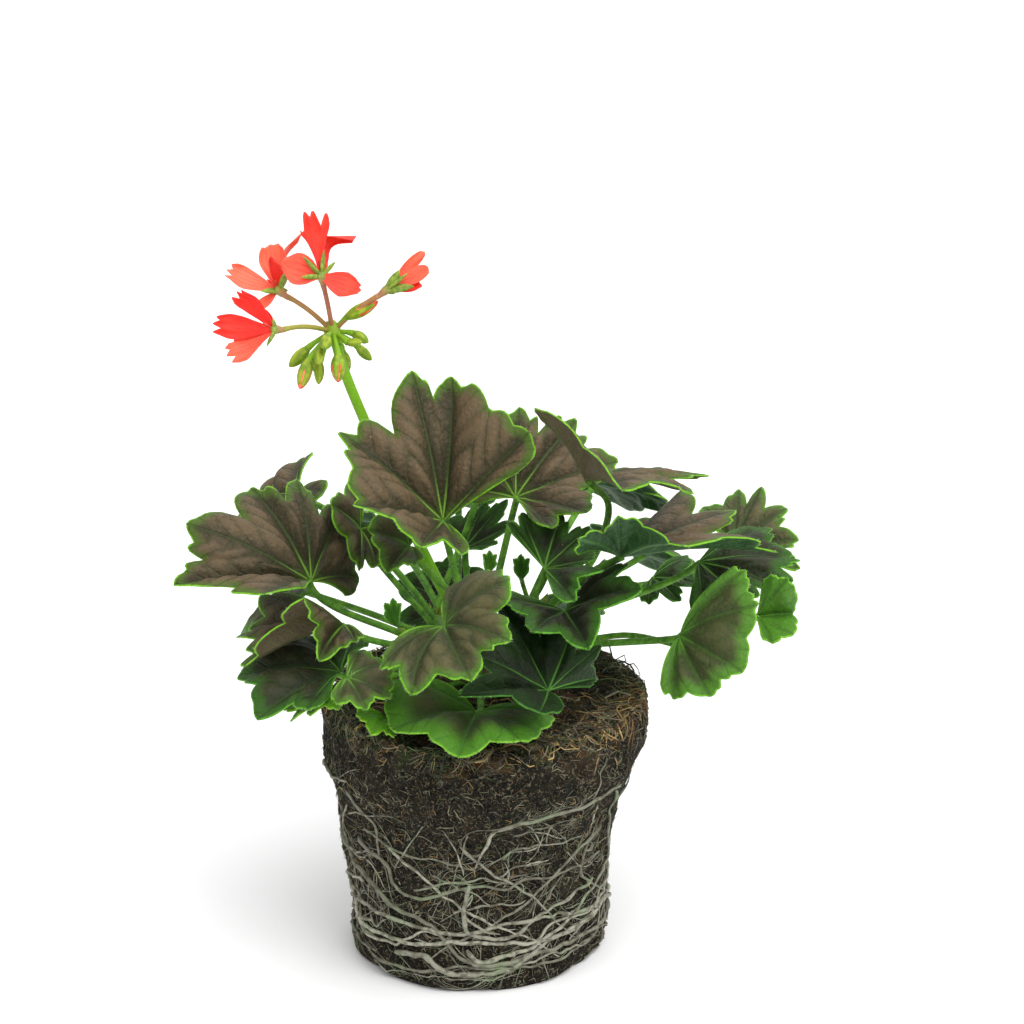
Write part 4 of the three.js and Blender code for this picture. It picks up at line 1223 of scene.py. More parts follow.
@dataclass
class Bloom:
    """One bloom: toothed petals about a calyx with narrow green sepals, and its stamens."""

    node: str
    heart: Array
    petals: list[tuple]
    sepals: list
    sepal_width: float
    rows: int = 22
    columns: int = 39
    petal_thickness: float = 0.3
    calyx_steps: int = 14
    calyx_sides: int = 15
    stamens: int = 7
    stamen_length: tuple[float, float] = (3.5, 6)

    def __post_init__(self) -> None:
        """Works out the way from the head to the heart."""
        self.heart = np.array(self.heart, float)
        self.away = unit(self.heart - HEAD)

    def petal(self, shell: Shell, number: int) -> None:
        """Adds a petal: a narrow claw that widens by its form and ends in teeth, bent back along its length.

        Across, it is a shallow trough with a few soft folds. Its end follows its outline, which draws the
        whole petal shorter there from two fifths of its length on.

        Args:
            shell: the mesh to add to.
            number: which petal.
        """
        place, width, curl, facing, form, tone, end = self.petals[number]
        tip, facing = seen(place), seen(facing)
        length = float(np.linalg.norm(tip))
        along = tip / length
        inner = unit(facing - along * (facing @ along))
        side = np.cross(inner, along)
        t = np.linspace(0.02, 1, self.rows)[:, None]
        v = np.linspace(-1, 1, self.columns)[None]
        wide = np.interp(t, np.linspace(0, 1, len(form.value)), form.value)
        seed = 10 * number + int(self.heart[0]) + 200
        reach = np.interp(-v, *np.array(end).T) + 0.012 * line_noise(v * 6, seed)
        far = t * (1 + (reach - 1) * ease(0.4, 1, t))
        ragged = 1 + 0.05 * line_noise(t * 7, seed + 3)
        t, v = np.broadcast_arrays(t, v)
        lift = curl * length * np.sin(np.pi * t**1.3) - 0.07 * width * v**2 * wide
        lift = lift + 0.22 * np.sin(5 * v + seed) * t + 0.55 * np.sin(2.6 * v + 2.3 * seed) * t**3
        across = v * wide * ragged * width / 2
        points = self.heart + along * (far * length)[..., None] + side * across[..., None]
        points = points - inner * lift[..., None]
        centre = np.stack([self.heart + along * 0.005 * length, -inner])
        marks = {"along": t, "beside": v, "tone": tone}
        shell.sheet(points, grid_normals(points), centre, self.petal_thickness, **marks)

    def calyx(self, shell: Shell) -> None:
        """Adds the ribbed cup under the petals and the sepals in front of them.

        Args:
            shell: the mesh to add to.
        """
        t = np.linspace(0, 1, self.calyx_steps)
        back = CALYX_LENGTH * 1.3
        path = self.heart + self.away * (t * (back + 1.6) - back)[:, None]
        radius = np.interp(t, [0, 0.2, 0.5, 0.75, 0.92, 1], [0.9, 1.0, 1.45, 1.6, 1.2, 0.5])
        shape = radius[:, None] * (1 + 0.06 * np.cos(5 * around(self.calyx_sides)))
        rosy = 1 - ease(0.3, 1.1, t)
        shell.rods(path, shape[None], self.calyx_sides, finish=1, rosy=rosy[None])
        t = t[:, None]
        start = self.heart - self.away * 0.6
        paths = start + seen(self.sepals)[:, None] * t - self.away * (0.9 * t**2)
        wide = np.interp(t, [0, 0.12, 0.4, 0.7, 0.9, 1], [0.5, 0.66, 0.86, 0.72, 0.34, 0.1])
        flat = np.array([1.0, 0.75, 0.35, 0.75, 1.0, 0.75, 0.35, 0.75])
        shell.rods(paths, (self.sepal_width * wide * flat)[None], len(flat), finish=1)

    def middle(self, shell: Shell) -> None:
        """Adds the stamens: thin rods that spread about the petals' common way and swell near their tips.

        Args:
            shell: the mesh to add to.
        """
        rng = np.random.default_rng(int(self.heart[2]))
        number = self.stamens
        axis = unit(sum(unit(seen(place)) for place, *_ in self.petals))
        ways = unit(axis + 0.2 * rng.normal(size=(number, 3)))
        radii = [[0.2, 0.18, 0.16, 0.16, 0.36, 0.22]]
        t = np.linspace(0, 1, len(radii[0]))[:, None]
        paths = self.heart + ways[:, None] * t * rng.uniform(*self.stamen_length, (number, 1, 1))
        shell.rods(paths, radii, 6, along=0.15, tone=np.linspace(0.1, 0.9, number))

    def build(self, finishes: "Finishes") -> Piece:
        """Builds the bloom: its petals, its calyx and its stamens.

        Args:
            finishes: the plant's materials.

        Returns:
            The bloom.
        """
        shell = Shell()
        for number in range(len(self.petals)):
            self.petal(shell, number)
        self.calyx(shell)
        self.middle(shell)
        return shell.build(f"{self.node}_fine", [finishes.petal, finishes.sepal], "petal", self.node)


@dataclass
class FlowerHead:
    """The flower stalk, its swollen head with bracts, the pedicels and the buds."""

    stalk_radius: float = 2.0
    stalk_steps: int = 60
    head_radius: float = 3.0
    pedicel_radius: float = 0.85
    pedicel_steps: int = 16
    pedicel_sides: int = 10
    rosy: tuple = (0.95, 0.75, 0.5, 0.8)  # how rosy the pedicel of each bloom is
    bud_steps: int = 26
    bud_sides: int = 30
    bract_count: int = 7
    hair_count: int = 420
    hair_length: tuple[float, float] = (2.3, 3.3)

    def pedicel(self, shell: Shell, end: Array, swelling: float, low: float, rosy: float) -> None:
        """Adds a thin stalk that rises a little from the head, turns to its end and swells there.

        Args:
            shell: the mesh to add to.
            end: its end.
            swelling: how much thicker it is there, as a share.
            low: the share of its length where the swelling starts.
            rosy: how rosy it is, 0 to 1.
        """
        knee = (HEAD + end) / 2 + UP * 0.12 * np.linalg.norm(end - HEAD)
        path = bezier([HEAD, knee, end], self.pedicel_steps)
        t = np.linspace(0, 1, self.pedicel_steps)
        thin = self.pedicel_radius * (1 + swelling * ease(low, 1, t))
        shell.rods(path, thin[None], self.pedicel_sides, rosy=rosy, high=1.0)

    def bud(self, shell: Shell, start: Array, end: Array, radius: float, red: float, number: int) -> None:
        """Adds a bud on its thin stalk: a long egg with five ribs, which may show red at its tip.

        Args:
            shell: the mesh to add to.
            start: where the bud begins.
            end: its tip.
            radius: its largest radius.
            red: how far the petals show, 0 to 1.
            number: which bud, which turns its ribs.
        """
        self.pedicel(shell, start + (end - start) * 0.1, 0.5, 0.55, 0.05)
        t = np.linspace(0, 1, self.bud_steps)[:, None]
        stations = [0, 0.08, 0.22, 0.42, 0.6, 0.8, 0.93, 1]
        egg = np.interp(t, stations, [0.42, 0.6, 0.86, 1, 0.95, 0.7, 0.4, 0.1])
        rib = np.cos(5 * around(self.bud_sides) + number)
        slit = red * ease(0.25, 0.5, t) * ease(-0.35, -0.85, rib)
        tip = red * ease(0.8, 0.97, t) * ease(0.6, 0.95, red)
        shape = radius * egg * (1 + 0.07 * rib - 0.03 * (slit > 0.4))
        marks = {"slit": np.maximum(slit, tip)[None], "rib": (0.5 + 0.5 * rib)[None, None]}
        shell.rods(start + (end - start) * t, shape[None], self.bud_sides, high=1.0, bud=1.0, **marks)

    def bracts(self, shell: Shell) -> None:
        """Adds the small pointed bracts that ring the head below the pedicels.

        Args:
            shell: the mesh to add to.
        """
        way = unit(level(around(self.bract_count) + 0.4) - 0.5 * UP)[:, None]
        t = np.linspace(0, 1, 8)[:, None]
        paths = HEAD - UP * 1.2 + way * (1.2 + 4.2 * t) - UP * 1.2 * t**2
        wide = np.interp(t[:, 0], [0, 0.4, 1], [0.8, 0.9, 0.12])
        shell.rods(paths, wide[None], 6, rosy=0.1, high=1.0)

    def hairs(self, shell: Shell) -> None:
        """Adds fine hairs that stand off the flower stalk at seeded places.

        Args:
            shell: the mesh to add to.
        """
        rng = np.random.default_rng(77)
        number = self.hair_count
        place = spline(FLOWER_STALK, 200)[rng.integers(10, 198, number)]
        way = unit(rng.normal(size=(number, 3)) * [1, 1, 0.3]) * rng.uniform(*self.hair_length, (number, 1))
        shell.rods(place[:, None] + way[:, None] * [[0.4], [1.0]], HAIR_RADII, 3, finish=1)

    def build(self, finishes: "Finishes") -> list[Piece]:
        """Builds the stalk with its buds, and then each bloom.

        Args:
            finishes: the plant's materials.

        Returns:
            The stalk and the blooms.
        """
        blooms = [Bloom(node, *row) for node, row in BLOOMS.items()]
        shell = Shell()
        t = np.linspace(0, 1, self.stalk_steps)
        wide = self.stalk_radius * (1 + 0.2 * np.exp(-t / 0.03) - 0.12 * t)
        # high: the share of the way up the stalk, which the material paints lighter toward the top as painted
        # light
        shell.rods(spline(FLOWER_STALK, self.stalk_steps), wide[None], 16, high=t[None])
        t = np.linspace(0, 1, 12)
        low, high = HEAD + seen([[1, -4, 0], [-1, 4, 0]])
        wide = self.head_radius * (0.3 + 0.7 * np.sin(np.pi * (0.1 + 0.8 * t)))
        shell.rods(low + (high - low) * t[:, None], wide[None], 14, high=1.0, rosy=0.15)
        for bloom, rosy in zip(blooms, self.rosy):
            self.pedicel(shell, bloom.heart - bloom.away * CALYX_LENGTH, 0.25, 0.8, rosy)
        for number, (start, end, radius, red) in enumerate(BUDS):
            self.bud(shell, HEAD + seen(start), HEAD + seen(end), radius, red, number)
        self.bracts(shell)
        self.hairs(shell)
        stalk = shell.build("flower_stalk_fine", [finishes.bud, finishes.down], "stem", "flower_stalk")
        return [stalk, *(bloom.build(finishes) for bloom in blooms)]


# The root ball as the part has it
BALL_WALL = np.array(
    [
        [0, 43], [2.5, 45], [8, 45.6], [15, 45.3], [31, 46.5], [48, 48.3],
        [60, 50], [66, 53], [72, 55.8], [80, 57.2], [92, 57.6], [96, 56],
    ]
)
BALL_LEAN = np.array([[0, -1.2], [50, -0.4], [66, 1], [84, 3]])
BALL_HEIGHT = 96.0
FOOT_MARKS = 7
FOOT_MARK_DEPTH = 1.4
FOOT_MARK_HEIGHT = 7.0
HOLLOW = np.array([-14.0, -40.0])
HOLLOW_REACH = 13.0
HOLLOW_DEPTH = 6.0


def wall_radius(angle: Array | float, z: Array | float) -> Array:
    """Follows the ball's wall: the pot's profile, a lean, three waves and foot marks.

    Args:
        angle: bearings in radians.
        z: heights.

    Returns:
        The wall's distance from the axis.
    """
    lumps = (
        0.9 * np.sin(3 * angle + 0.05 * z + 1.3)
        + 0.6 * np.sin(7 * angle - 0.11 * z + 2)
        + 0.4 * np.sin(12 * angle + 0.21 * z + 4)
    )
    low = np.maximum(0, 1 - z / FOOT_MARK_HEIGHT)
    mark = FOOT_MARK_DEPTH * low * np.maximum(0, np.sin(FOOT_MARKS * angle)) ** 3
    lean = np.interp(z, *BALL_LEAN.T) * np.cos(angle)
    return np.interp(z, *BALL_WALL.T) + lean + lumps * np.minimum(1, z / 8) - mark


def soil_height(x: Array, y: Array) -> Array:
    """Follows the soil: a mound at the trunk, ripples that fade at the rim, and the hollow.

    Args:
        x: places to the right.
        y: places to the back.

    Returns:
        The soil's height there.
    """
    r = np.hypot(x, y)
    dip = np.exp(-((x - HOLLOW[0]) ** 2 + (y - HOLLOW[1]) ** 2) / HOLLOW_REACH**2)
    mound = 2.2 * np.exp(-((r / 18) ** 2))
    ripple = 0.8 * np.sin(0.13 * x + 0.7) * np.cos(0.16 * y) + 0.5 * np.sin(0.31 * x - 0.27 * y)
    return BALL_HEIGHT + mound + ripple * np.minimum(1, (56 - r) / 12) - HOLLOW_DEPTH * dip


def crumbs(points: Array) -> Array:
    """Roughens the peat: three sizes of noise, pits, and lumps at the collar.

    Args:
        points: points on the smooth form.

    Returns:
        How far the peat stands out there.
    """
    coarse = noise(points, 7, 1) + 1.7 * noise(points, 8, 6) * ease(70, 84, points[..., 2])
    middle = noise(points, 3, 2)
    fine = noise(points, 1.4, 3)
    pits = -np.maximum(0, noise(points, 4.5, 4) - 0.45) * 3
    return 0.7 * coarse + 0.55 * middle + 0.4 * fine + pits


def on_wall(angle: Array, z: Array, lift: Array | float = 0.0) -> Array:
    """Returns points on the crumbly wall at bearings and heights, raised from it by a lift."""
    out = level(angle)
    base = out * wall_radius(angle, z)[..., None] + UP * z[..., None]
    return base + out * (crumbs(base) * ease(0, 3, z) + lift)[..., None]


# Denser tufts at the rim: the bearing and its spread in degrees, how far out, how many fibres, their size,
# and the shares that are moss and rusty
TUFTS: list[tuple] = [
    (-50, 14, 52, 330, 1.3, 0.25, 0.45),
    (-28, 10, 53, 260, 1.4, 0.2, 0.55),
    (-8, 12, 52, 170, 1.4, 0.45, 0.3),
    (-90, 7, 55, 110, 1.5, 0.1, 0.45),
    (-105, 5, 54, 130, 1.3, 0.75, 0.0),
    (-140, 16, 54, 260, 1.3, 0.6, 0.15),
    (-121, 4, 53, 160, 0.8, 0.05, 0.4),
    (-135, 5, 53, 90, 0.9, 0.3, 0.3),
    (70, 16, 52, 220, 1.3, 0.3, 0.3),
    (150, 16, 52, 220, 1.3, 0.4, 0.2),
]


@dataclass
class RootBall:
    """The peat as the pot shaped it, with loose fibres on its wall and moss on its top."""

    columns: int = 250
    foot_rows: int = 6
    wall_rows: int = 104
    top_rows: int = 34
    wall_fibres: int = 6900
    top_fibres: int = 1100
    fibre_arm: float = 48.0  # the radius that turns a fibre's bearing to a length

    def skin(self, shell: Shell) -> None:
        """Adds the peat: rows under the foot, up the wall and over the top, closed at both poles.

        Args:
            shell: the mesh to add to.
        """
        angle = around(self.columns)
        z = np.linspace(0, BALL_HEIGHT, self.wall_rows)[:, None] + 0 * angle
        wall = on_wall(angle[None], z)
        wall[..., 2] -= 2.6 * ease(80, BALL_HEIGHT, z) * np.maximum(0, noise(wall * [1, 1, 0], 9, 21) + 0.25)
        under = wall[0] * np.linspace(0.06, 0.94, self.foot_rows)[:, None, None]
        under[..., 2] = 0
        inward = np.linspace(0.985, 0.03, self.top_rows)[:, None]
        top = wall[-1] * inward[..., None]
        top[..., 2] = soil_height(top[..., 0], top[..., 1])
        soil = top[..., 2] + 1.2 * crumbs(top)
        edge = ease(1.0, 0.9, inward)
        top[..., 2] = wall[-1, :, 2] * (1 - edge) + soil * edge
        rows = np.concatenate([under, wall, top])
        points = np.vstack([rows.reshape(-1, 3), 0 * UP, soil_height(0.0, 0.0) * UP])
        shell.add(points, tube_faces(*rows.shape[:2]), rim=ease(84, 95, points[:, 2]))

    def fibres(self, shell: Shell) -> None:
        """Adds short bent fibres that lie on the wall in clumps, brown to straw and paler in a clump.

        Args:
            shell: the mesh to add to.
        """
        rng = np.random.default_rng(5)
        number = self.wall_fibres
        angle, z = rng.uniform(0, TURN, 2 * number), 1.5 + 94 * rng.uniform(size=2 * number) ** 0.85
        clump = noise(np.stack([angle * self.fibre_arm, z, 0 * z], -1), 8, 30)
        keep = np.argsort(-clump - 0.45 * rng.normal(size=2 * number), kind="stable")[:number]
        angle, z, clump = angle[keep, None], z[keep, None], clump[keep, None]
        t = np.linspace(-0.5, 0.5, 3)
        size = rng.gamma(3, 0.95, (number, 1)) + 1.0
        heading = rng.uniform(0, TURN, (number, 1)) + rng.normal(size=(number, 1)) * 1.5 * t
        angle = angle + size * t * np.cos(heading) / self.fibre_arm
        z = np.clip(z + size * t * np.sin(heading), 1, BALL_HEIGHT)
        lift = 0.1 + 0.3 * rng.uniform(size=(number, 1)) ** 4 * (1 + 2 * t) ** 2
        thick = rng.uniform(0.07, 0.22, (number, 1)) * [0.6, 1, 0.5]
        pale = rng.uniform(size=(number, 1)) ** (3.4 - 2.2 * np.clip(clump, 0, 1))
        moss = rng.uniform(size=(number, 1)) < 0.12
        rust = rng.uniform(size=(number, 1)) < 0.07
        shell.rods(on_wall(angle, z, lift), thick, 3, pale=pale, moss=moss, rust=rust)

    def litter(self, shell: Shell) -> None:
        """Adds moss and fibres on the soil: they lie or arch up, greener and more rusty to the right.

        Args:
            shell: the mesh to add to.
        """
        rng = np.random.default_rng(6)
        number = self.top_fibres
        bearing = rng.uniform(0, TURN, number)
        outer = rng.uniform(size=number) < 0.55
        r = np.where(outer, rng.uniform(49, 57, number), 53 * rng.uniform(size=number) ** 0.5)
        right = (ease(-10, 40, r * np.cos(bearing)) * ease(30, -20, r * np.sin(bearing)))[:, None]
        moss = rng.uniform(size=(number, 1)) < 0.15 + 0.35 * right
        rust = rng.uniform(size=(number, 1)) < 0.12 + 0.3 * right
        self.strew(shell, rng, bearing, r, 1.9, moss=moss, rust=rust)
        for middle, spread, reach, count, size, green, rusty in TUFTS:
            bearing = (middle + spread * rng.normal(size=count)) * DEGREE
            moss = rng.uniform(size=(count, 1)) < green
            rust = rng.uniform(size=(count, 1)) < rusty
            self.strew(shell, rng, bearing, reach + 2.2 * rng.normal(size=count), size, moss=moss, rust=rust)

    def strew(
        self, shell: Shell, rng: np.random.Generator, bearing: Array, r: Array, size: float, **kinds: Array
    ) -> None:
        """Lays fibres on the soil: each wanders off, arches up, and hangs where it is past the rim.

        Args:
            shell: the mesh to add to.
            rng: where the random draws come from.
            bearing: the bearing of each fibre's start, radians.
            r: how far each start is from the axis.
            size: about a third of the usual length.
            kinds: which of them are moss and which rust.
        """
        number = len(bearing)
        t = np.linspace(0, 1, 5)
        heading = rng.uniform(0, TURN, (number, 1)) + 2.4 * rng.normal(size=(number, 1)) * t
        long = rng.gamma(3, size, (number, 1)) + 1.5
        x = r * np.cos(bearing) + np.interp(BALL_HEIGHT, *BALL_LEAN.T) * 0.5
        x = x[:, None] + long * t * np.cos(heading)
        y = (r * np.sin(bearing))[:, None] + long * t * np.sin(heading)
        way, far = np.arctan2(y, x), np.hypot(x, y)
        rim = wall_radius(way, BALL_HEIGHT) + 0.5
        over = np.maximum(0, far - rim)
        drop = over * 1.1
        hung = np.maximum(wall_radius(way, BALL_HEIGHT - drop) + 0.6, rim * 0.99 + 0.2 * over)
        pull = np.where(over > 0, hung / np.maximum(far, 1), 1.0)
        x, y = x * pull, y * pull
        arch = rng.uniform(0, 0.4, (number, 1)) ** 1.3 * long * np.sin(np.pi * t * 0.8)
        z = np.where(over > 0, BALL_HEIGHT + 0.3 - drop, soil_height(x, y) + 0.4) + arch
        thick = (0.1 + 0.32 * rng.uniform(size=(number, 1)) ** 1.5) * [0.8, 1, 0.95, 0.75, 0.3]
        pale = rng.uniform(size=(number, 1)) ** 2.0
        shell.rods(np.stack([x, y, z], -1), thick, 3, pale=pale, **kinds)

    def build(self, finishes: "Finishes") -> list[Piece]:
        """Builds the ball, its fibres and its litter.

        Args:
            finishes: the plant's materials.

        Returns:
            The ball, the fibres and the litter.
        """
        ball, wall, soil = Shell(), Shell(), Shell()
        self.skin(ball)
        self.fibres(wall)
        self.litter(soil)
        return [
            ball.build("root_ball_fine", [finishes.peat], "peat", "root_ball"),
            wall.build("wall_fibres", [finishes.fibre], "peat"),
            soil.build("soil_litter", [finishes.fibre], "peat"),
        ]


# Roots that show on the front of the ball, as [across, up] seen from the front and a little above, with up
# from the foot's front edge, and the radius of each
FRONT_ROOTS: list[tuple] = [
    (
        [
            [-46, 53], [-42, 42], [-36, 37], [-28, 28], [-21, 24], [-15, 19], [-9, 11], [-3, 7.4], [11, 6],
            [16, 5.5],
        ],
        1.25,
    ),
    ([[-44, 34], [-40, 18], [-35, 14.5], [-29, 13.5], [-22, 17], [-18, 19], [-14, 17]], 0.95),
    ([[-3, 36], [-5, 25], [-3, 18], [3.5, 16], [10, 15], [17, 20.5], [22, 24.5], [30, 29], [39, 36]], 1.15),
    ([[-5, 24.5], [0, 21], [7.5, 16.5]], 0.75),
    (
        [
            [-29, 10.5], [-20, 10], [-13, 5], [-9, 3], [-1, 3.6], [11, 4.7], [16, 6.6], [25, 13.6],
            [34, 17.5], [41, 23],
        ],
        1.35,
    ),
    ([[-4, 11.5], [0, 8], [11, 10], [19, 11.5], [27, 17], [34, 21.5], [42, 27.5]], 1.1),
    ([[6.6, 56], [11, 58], [19, 59.5], [27, 61.5], [34.5, 64], [43, 67.5], [49, 71]], 1.05),
    ([[6.6, 56], [3.5, 52], [1.2, 47.5], [-1, 41.5]], 0.85),
    ([[1.2, 47.7], [-2.7, 46.5], [-5.8, 47.7]], 0.5),
    ([[-40, 54.5], [-33, 50], [-27, 47], [-20, 45.7], [-10, 43.8], [-1, 41.5]], 0.6),
    (
        [
            [-41, 51], [-37, 46], [-30, 41.5], [-27, 34], [-20, 30.5], [-12, 33], [-3, 35], [7, 35],
            [10, 34.5], [14, 37.5], [24, 39], [34, 41.5], [41, 45.5],
        ],
        0.85,
    ),
    ([[-21, 34], [-15, 36], [-4, 37], [5, 37.6], [10.5, 36.8]], 0.6),
    ([[-4, 27], [0.4, 28], [10, 29], [16, 30.3]], 0.6),
    ([[6.6, 39], [13, 42.5], [23, 45.5]], 0.5),
    ([[8, 45.7], [13.6, 50], [25, 50.4], [34, 53]], 0.5),
    ([[12, 54], [23.6, 57], [32, 60]], 0.45),
    ([[22, 25], [23.6, 31.5], [27.5, 37.5]], 0.6),
    ([[44.5, 55.5], [43, 43], [39, 34], [34, 26], [30.5, 21.5]], 0.75),
    ([[47.6, 68.5], [45.3, 60], [43.8, 49]], 0.8),
    ([[37, 57], [39, 60], [40, 65]], 0.6),
    ([[-46, 63], [-45, 54], [-43, 41.5], [-41.4, 30.5]], 0.6),
    ([[-44.5, 35.5], [-38, 25], [-35, 18.5], [-30.5, 23.5]], 0.7),
    ([[-38, 44], [-33, 38], [-30, 33]], 0.4),
    ([[-16, 40], [-10, 36], [-4, 33]], 0.4),
    ([[20, 12], [27, 20], [33, 23], [36, 30]], 0.7),
]
ROOT_VIEW = 18.6 * DEGREE
ROOT_SLIMMING = 0.82  # the net's roots as a share of the radii above
FRONT_FOOT_DROP = 10.7  # what is taken off a root's height as its up starts at the foot's front edge
ROOT_ARM = 47.0  # the radius that turns a root's bearing to a length


@dataclass(frozen=True)
class RootSort:
    """Roots of one sort: how many there are and how they are made."""

    number: int
    steps: int
    sides: int
    seed: int
    radius: tuple[float, float]  # the least and the most
    size: float = 0.0  # about a third of the usual length, where roots leave others


@dataclass
class RootNet:
    """The roots on the ball: the part's own, more that circle the foot or cross the wall, and fine ones."""

    part_coils: RootSort = RootSort(4, 190, 6, 30, (0.8, 0.8))
    part_runs: RootSort = RootSort(7, 76, 6, 31, (0.6, 0.6))
    foot_coils: RootSort = RootSort(11, 80, 6, 40, (0.22, 0.75))
    wall_runs: RootSort = RootSort(18, 50, 6, 50, (0.14, 0.36))
    branches: RootSort = RootSort(330, 15, 4, 60, (0.13, 0.36), 3.6)
    fine_roots: RootSort = RootSort(1150, 9, 3, 70, (0.07, 0.19), 1.7)

    def lay(self, shell: Shell, angle: Array, z: Array, radius: Array, sides: int, seed: int) -> None:
        """Adds roots that lie on the crumbs of the wall, thinner at both ends and uneven in between.

        Args:
            shell: the mesh to add to.
            angle: the bearings along each root, one root a row.
            z: the heights along each root.
            radius: each root's radius at its start.
            sides: how many sides it has.
            seed: a whole number for the noise.
        """
        t = np.linspace(0, 1, angle.shape[1])
        line = np.stack([angle * ROOT_ARM, z, np.full(z.shape, seed)], -1)
        uneven = 1 + 0.26 * noise(line, 2.2, seed + 3) + 0.12 * noise(line, 0.9, seed)
        thick = radius[:, None] * (1 - 0.45 * t) * uneven * np.where((t == 0) | (t == 1), 0.5, 1)
        base = on_wall(angle, z)
        base[:, 1:-1] = (base[:, :-2] + base[:, 1:-1] + base[:, 2:]) / 3
        lift = thick * 0.45 + 0.15 + 0.6 * np.maximum(0, noise(line + 20, 6, seed + 4))
        tone = draw(np.arange(len(angle)) + 3 * seed)[:, None]
        shell.rods(base + unit(base * [1, 1, 0]) * lift[..., None], thick, sides, tone=tone)

    def course(self, angle: Array, z: Array, step: int) -> Array:
        """Returns bearing, height and heading along roots at every so many points, 0 along the bearing."""
        heading = np.arctan2(np.gradient(z, axis=1), np.gradient(angle, axis=1) * ROOT_ARM)
        return np.stack([angle, z, heading], -1)[:, step:-step:step].reshape(-1, 3)

    def front(self, shell: Shell, turn: float, flip: float, pick: slice) -> Array:
        """Adds the roots read from the front, turned about the ball and mirrored to fill its far sides.

        A place across and up is carried to the wall: the bearing from the arcsine of across over the wall's
        radius, and the height from up and from how far forward the wall stands there.

        Args:
            shell: the mesh to add to.
            turn: how far they are turned, radians.
            flip: 1, or -1 to mirror them.
            pick: which of them.

        Returns:
            Bearing, height and heading along them.
        """
        found = []
        for number, (places, radius) in enumerate(FRONT_ROOTS[pick]):
            across, up = np.array(places, float).T
            z = up + 5
            for _ in range(3):
                r = wall_radius(-np.pi / 2, z)
                near = np.sqrt(np.maximum(r**2 - across**2, 16))
                z = up / math.cos(ROOT_VIEW) + near * math.tan(ROOT_VIEW) - FRONT_FOOT_DROP
            bearing = np.arctan2(across, near) * flip + turn - np.pi / 2
            steps = max(8, int(np.hypot(np.diff(across), np.diff(up)).sum() / 1.1))
            line = evenly(spline(np.stack([bearing * ROOT_ARM, z, 0 * z], -1), 8 * len(z)), steps)
            wander = np.stack([line[:, 0], line[:, 1], np.full(steps, number + 9.0 * turn)], -1)
            line[:, 0] += 0.7 * noise(wander, 3.5, 70)
            line[:, 1] += 0.9 * noise(wander, 3.5, 71) + 0.6 * noise(wander, 1.6, 72)
            angle, z = line[None, :, 0] / ROOT_ARM, np.clip(line[None, :, 1], 1.5 + radius, BALL_HEIGHT - 2)
            self.lay(shell, angle, z, np.array([radius * ROOT_SLIMMING]), 7, 73 + number)
            found.append(self.course(angle, z, 4))
        return np.concatenate(found)

    def branch(self, shell: Shell, rng: np.random.Generator, places: Array, sort: RootSort) -> Array:
        """Adds roots that leave others at a narrow angle and curve on over the wall.

        Each point is the sum of the steps before it along a heading, which turns evenly and by noise.

        Args:
            shell: the mesh to add to.
            rng: where the random draws come from.
            places: bearing, height and heading along the roots that they leave.
            sort: how many to add, and of what sort.

        Returns:
            Bearing, height and heading along them.
        """
        number = sort.number
        start = places[rng.integers(0, len(places), number)]
        t = np.linspace(0, 1, sort.steps)
        long = rng.gamma(3, sort.size, (number, 1)) + 2
        heading = start[:, 2:] + rng.choice([0, 0, np.pi], (number, 1))
        heading = heading + rng.choice([-1, 1], (number, 1)) * rng.uniform(0.25, 1.0, (number, 1))
        line = np.stack(np.broadcast_arrays(long * t, start[:, :1] * 40, start[:, 1:2]), -1)
        heading = heading + rng.normal(0, 0.7, (number, 1)) * t + 0.55 * noise(line, 4, sort.seed)
        step = long / (sort.steps - 1)
        angle = start[:, :1] + np.cumsum(np.cos(heading) * step, axis=1) / ROOT_ARM
        z = np.clip(start[:, 1:2] + np.cumsum(np.sin(heading) * step, axis=1), 1.2, BALL_HEIGHT - 4)
        self.lay(shell, angle, z, rng.uniform(*sort.radius, number), sort.sides, sort.seed)
        return self.course(angle, z, 2)

    def run(self, shell: Shell, start: Array, drop: Array, radius: Array, sort: RootSort) -> Array:
        """Adds roots that run over the wall from one bearing and height to another, wandering as they go.

        Bearing and height change evenly along a root. Sines and noise move it to the side, and it lies on the
        crumbs of the wall at its own radius.

        Args:
            shell: the mesh to add to.
            start: bearing in radians and height of each root's start, one a row.
            drop: how far each goes in bearing and height, one a row.
            radius: each root's radius at its start.
            sort: what sort they are.

        Returns:
            Bearing, height and heading along them.
        """
        seed = sort.seed
        t = np.linspace(0, 1, sort.steps)
        length = np.hypot(drop[:, 0] * ROOT_ARM, drop[:, 1])[:, None]
        phase = TURN * draw(np.arange(sort.number) + seed)[:, None]
        free = np.sin(np.pi * t) ** 0.5
        sway = np.sin(length * t / 9 + phase) * np.minimum(2.0, length * 0.04)
        line = np.stack(np.broadcast_arrays(length * t, phase * 9, float(seed)), -1)
        wiggle = 1.2 * noise(line, 4, seed) + 0.6 * noise(line, 1.8, seed + 1)
        side = 0.7 * noise(line + 50, 5, seed + 2) * free
        angle = start[:, :1] + drop[:, :1] * t + side / ROOT_ARM
        z = start[:, 1:] + drop[:, 1:] * t + (sway + wiggle) * free
        z = np.clip(z, 0.8 + radius[:, None], BALL_HEIGHT - 2)
        self.lay(shell, angle, z, radius, sort.sides, seed)
        return self.course(angle, z, 5)

